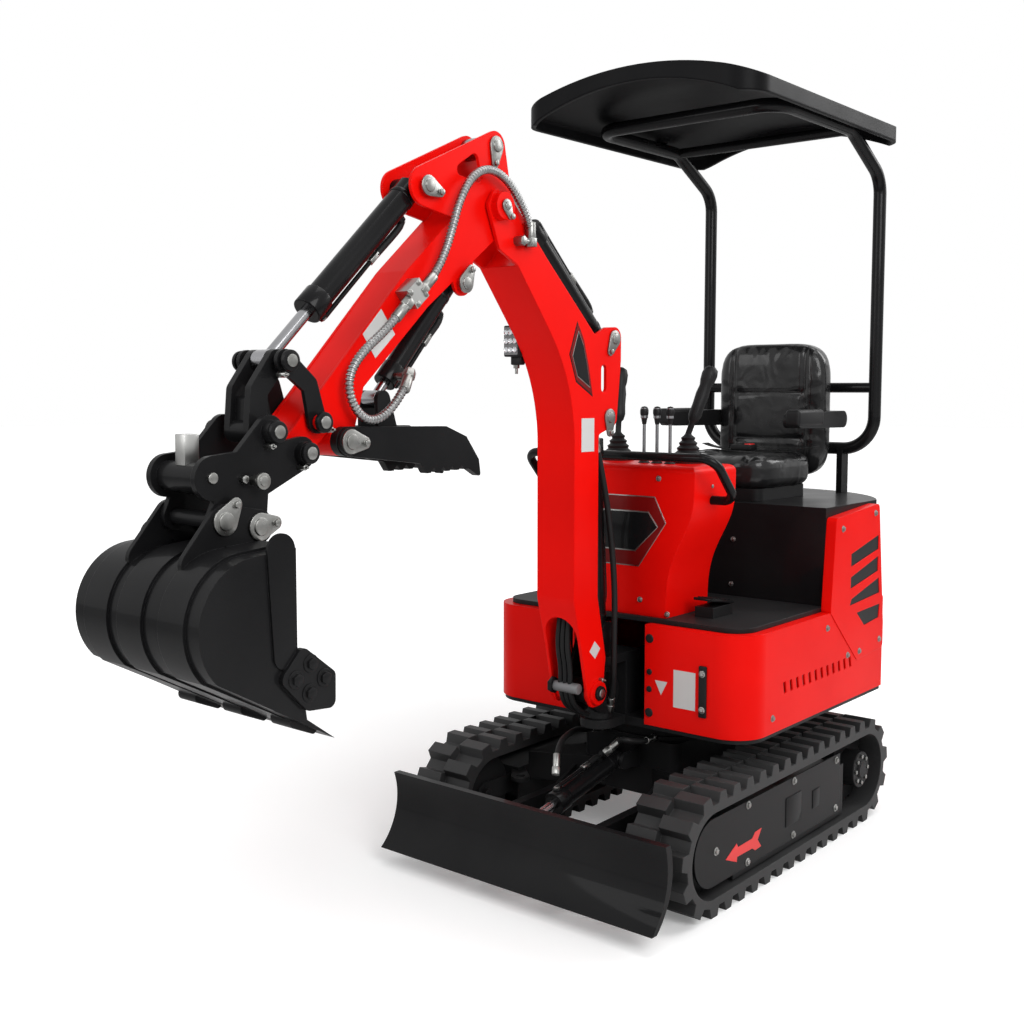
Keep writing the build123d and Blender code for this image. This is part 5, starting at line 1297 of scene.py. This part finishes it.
@dataclass
class Studio:
    """Floor, lights and camera."""

    place: Point = (2.039, -3.192, 1.374)
    azimuth: float = 39.70
    pitch: float = -4.956
    focal_px: float = 1228.05
    image_px: float = 1024.0
    axis_px: Flat = (512.26, 495.94)
    glow: Flat = (0.18, 0.82)
    glow_reach: Flat = (1.1, 4.5)
    surround: Flat = (0.3, 1.0)
    floor_half: float = 40.0
    lamps: Sequence[tuple[str, Point, Point, float, float]] = (
        ("key", (4.0, -2.2, 3.4), (0.0, -0.4, 0.9), 2.6, 150.0),
        ("fill", (-1.2, -4.6, 3.0), (-0.2, -0.5, 0.9), 3.0, 70.0),
        ("top", (0.6, 0.6, 5.0), (0.0, -0.2, 0.6), 3.2, 100.0),
        ("back", (2.2, 3.4, 3.6), (-0.2, -0.2, 0.9), 2.2, 80.0),
    )

    def build(self) -> None:
        """Make the whole studio."""
        self._floor()
        self._world()
        for name, place, target, size, power in self.lamps:
            light = bpy.data.lights.new(name, "AREA")
            light.size = size
            light.energy = power
            lamp = bpy.data.objects.new(name, light)
            lamp.matrix_world = turn_to(Vector(place) - Vector(target), place)
            bpy.context.scene.collection.objects.link(lamp)
        self._camera()
        bpy.context.scene.view_settings.view_transform = "Standard"

    def _floor(self) -> None:
        """Make the pale floor, white to the camera apart from the shadow."""
        shape = Shape()
        bmesh.ops.create_grid(shape.bm, x_segments=1, y_segments=1, size=self.floor_half)
        mesh = bpy.data.meshes.new("floor")
        shape.bm.to_mesh(mesh)
        shape.bm.free()
        floor = bpy.data.objects.new("floor", mesh)
        bpy.context.scene.collection.objects.link(floor)
        material = bpy.data.materials.new("pale_floor")
        material.use_nodes = True
        bench = Bench(material.node_tree)
        shader = material.node_tree.nodes["Principled BSDF"]
        shader.inputs["Base Color"].default_value = (*grey(0.9), 1.0)
        shader.inputs["Roughness"].default_value = 0.7
        shader.inputs["Emission Color"].default_value = (*grey(1.0), 1.0)
        path = bench.add("ShaderNodeLightPath")
        place = bench.add("ShaderNodeTexCoord")
        far = bench.add("ShaderNodeVectorMath", operation="LENGTH")
        near, far_off = self.glow_reach
        low, high = self.glow
        limits = {"From Min": near, "From Max": far_off, "To Min": low, "To Max": high}
        ease = bench.add("ShaderNodeMapRange", limits)
        lift = bench.add("ShaderNodeMath", operation="MULTIPLY")
        bench.wire(
            (place, "Object", far, 0), (far, "Value", ease, "Value"), (ease, "Result", lift, 0),
            (path, "Is Camera Ray", lift, 1), (lift, "Value", shader, "Emission Strength"),
        )
        mesh.materials.append(material)

    def _world(self) -> None:
        """Make the white surround."""
        world = bpy.data.worlds.new("studio")
        world.use_nodes = True
        bpy.context.scene.world = world
        bench = Bench(world.node_tree)
        back = world.node_tree.nodes["Background"]
        back.inputs["Color"].default_value = (*grey(1.0), 1.0)
        path = bench.add("ShaderNodeLightPath")
        seen = path.outputs["Is Camera Ray"]
        for kind in ("Is Glossy Ray", "Is Transmission Ray"):
            join = bench.add("ShaderNodeMath", operation="MAXIMUM")
            bench.link(seen, join.inputs[0])
            bench.link(path.outputs[kind], join.inputs[1])
            seen = join.outputs[0]
        bench.link(bench.span(seen, *self.surround), back.inputs["Strength"])

    def _camera(self) -> None:
        """Make the camera at the photograph's viewing angle."""
        lens = bpy.data.cameras.new("camera")
        lens.sensor_width = 36.0
        lens.lens = self.focal_px / self.image_px * lens.sensor_width
        lens.shift_x = (self.image_px / 2 - self.axis_px[0]) / self.image_px
        lens.shift_y = (self.axis_px[1] - self.image_px / 2) / self.image_px
        camera = bpy.data.objects.new("camera", lens)
        camera.location = self.place
        camera.rotation_euler = (math.radians(90 + self.pitch), 0.0, math.radians(self.azimuth))
        bpy.context.scene.collection.objects.link(camera)
        bpy.context.scene.camera = camera


def main() -> None:
    """Build the studio, then build and dress the machine."""
    logging.basicConfig(level=logging.INFO, format="%(name)s %(message)s")
    for kind in (Studio, Undercarriage, Blade, UpperBody, Console, Seat, Canopy, Boom, Arm, Tools):
        LOG.info("building %s", kind.__name__)
        kind().build()


if __name__ == "__main__":
    main()
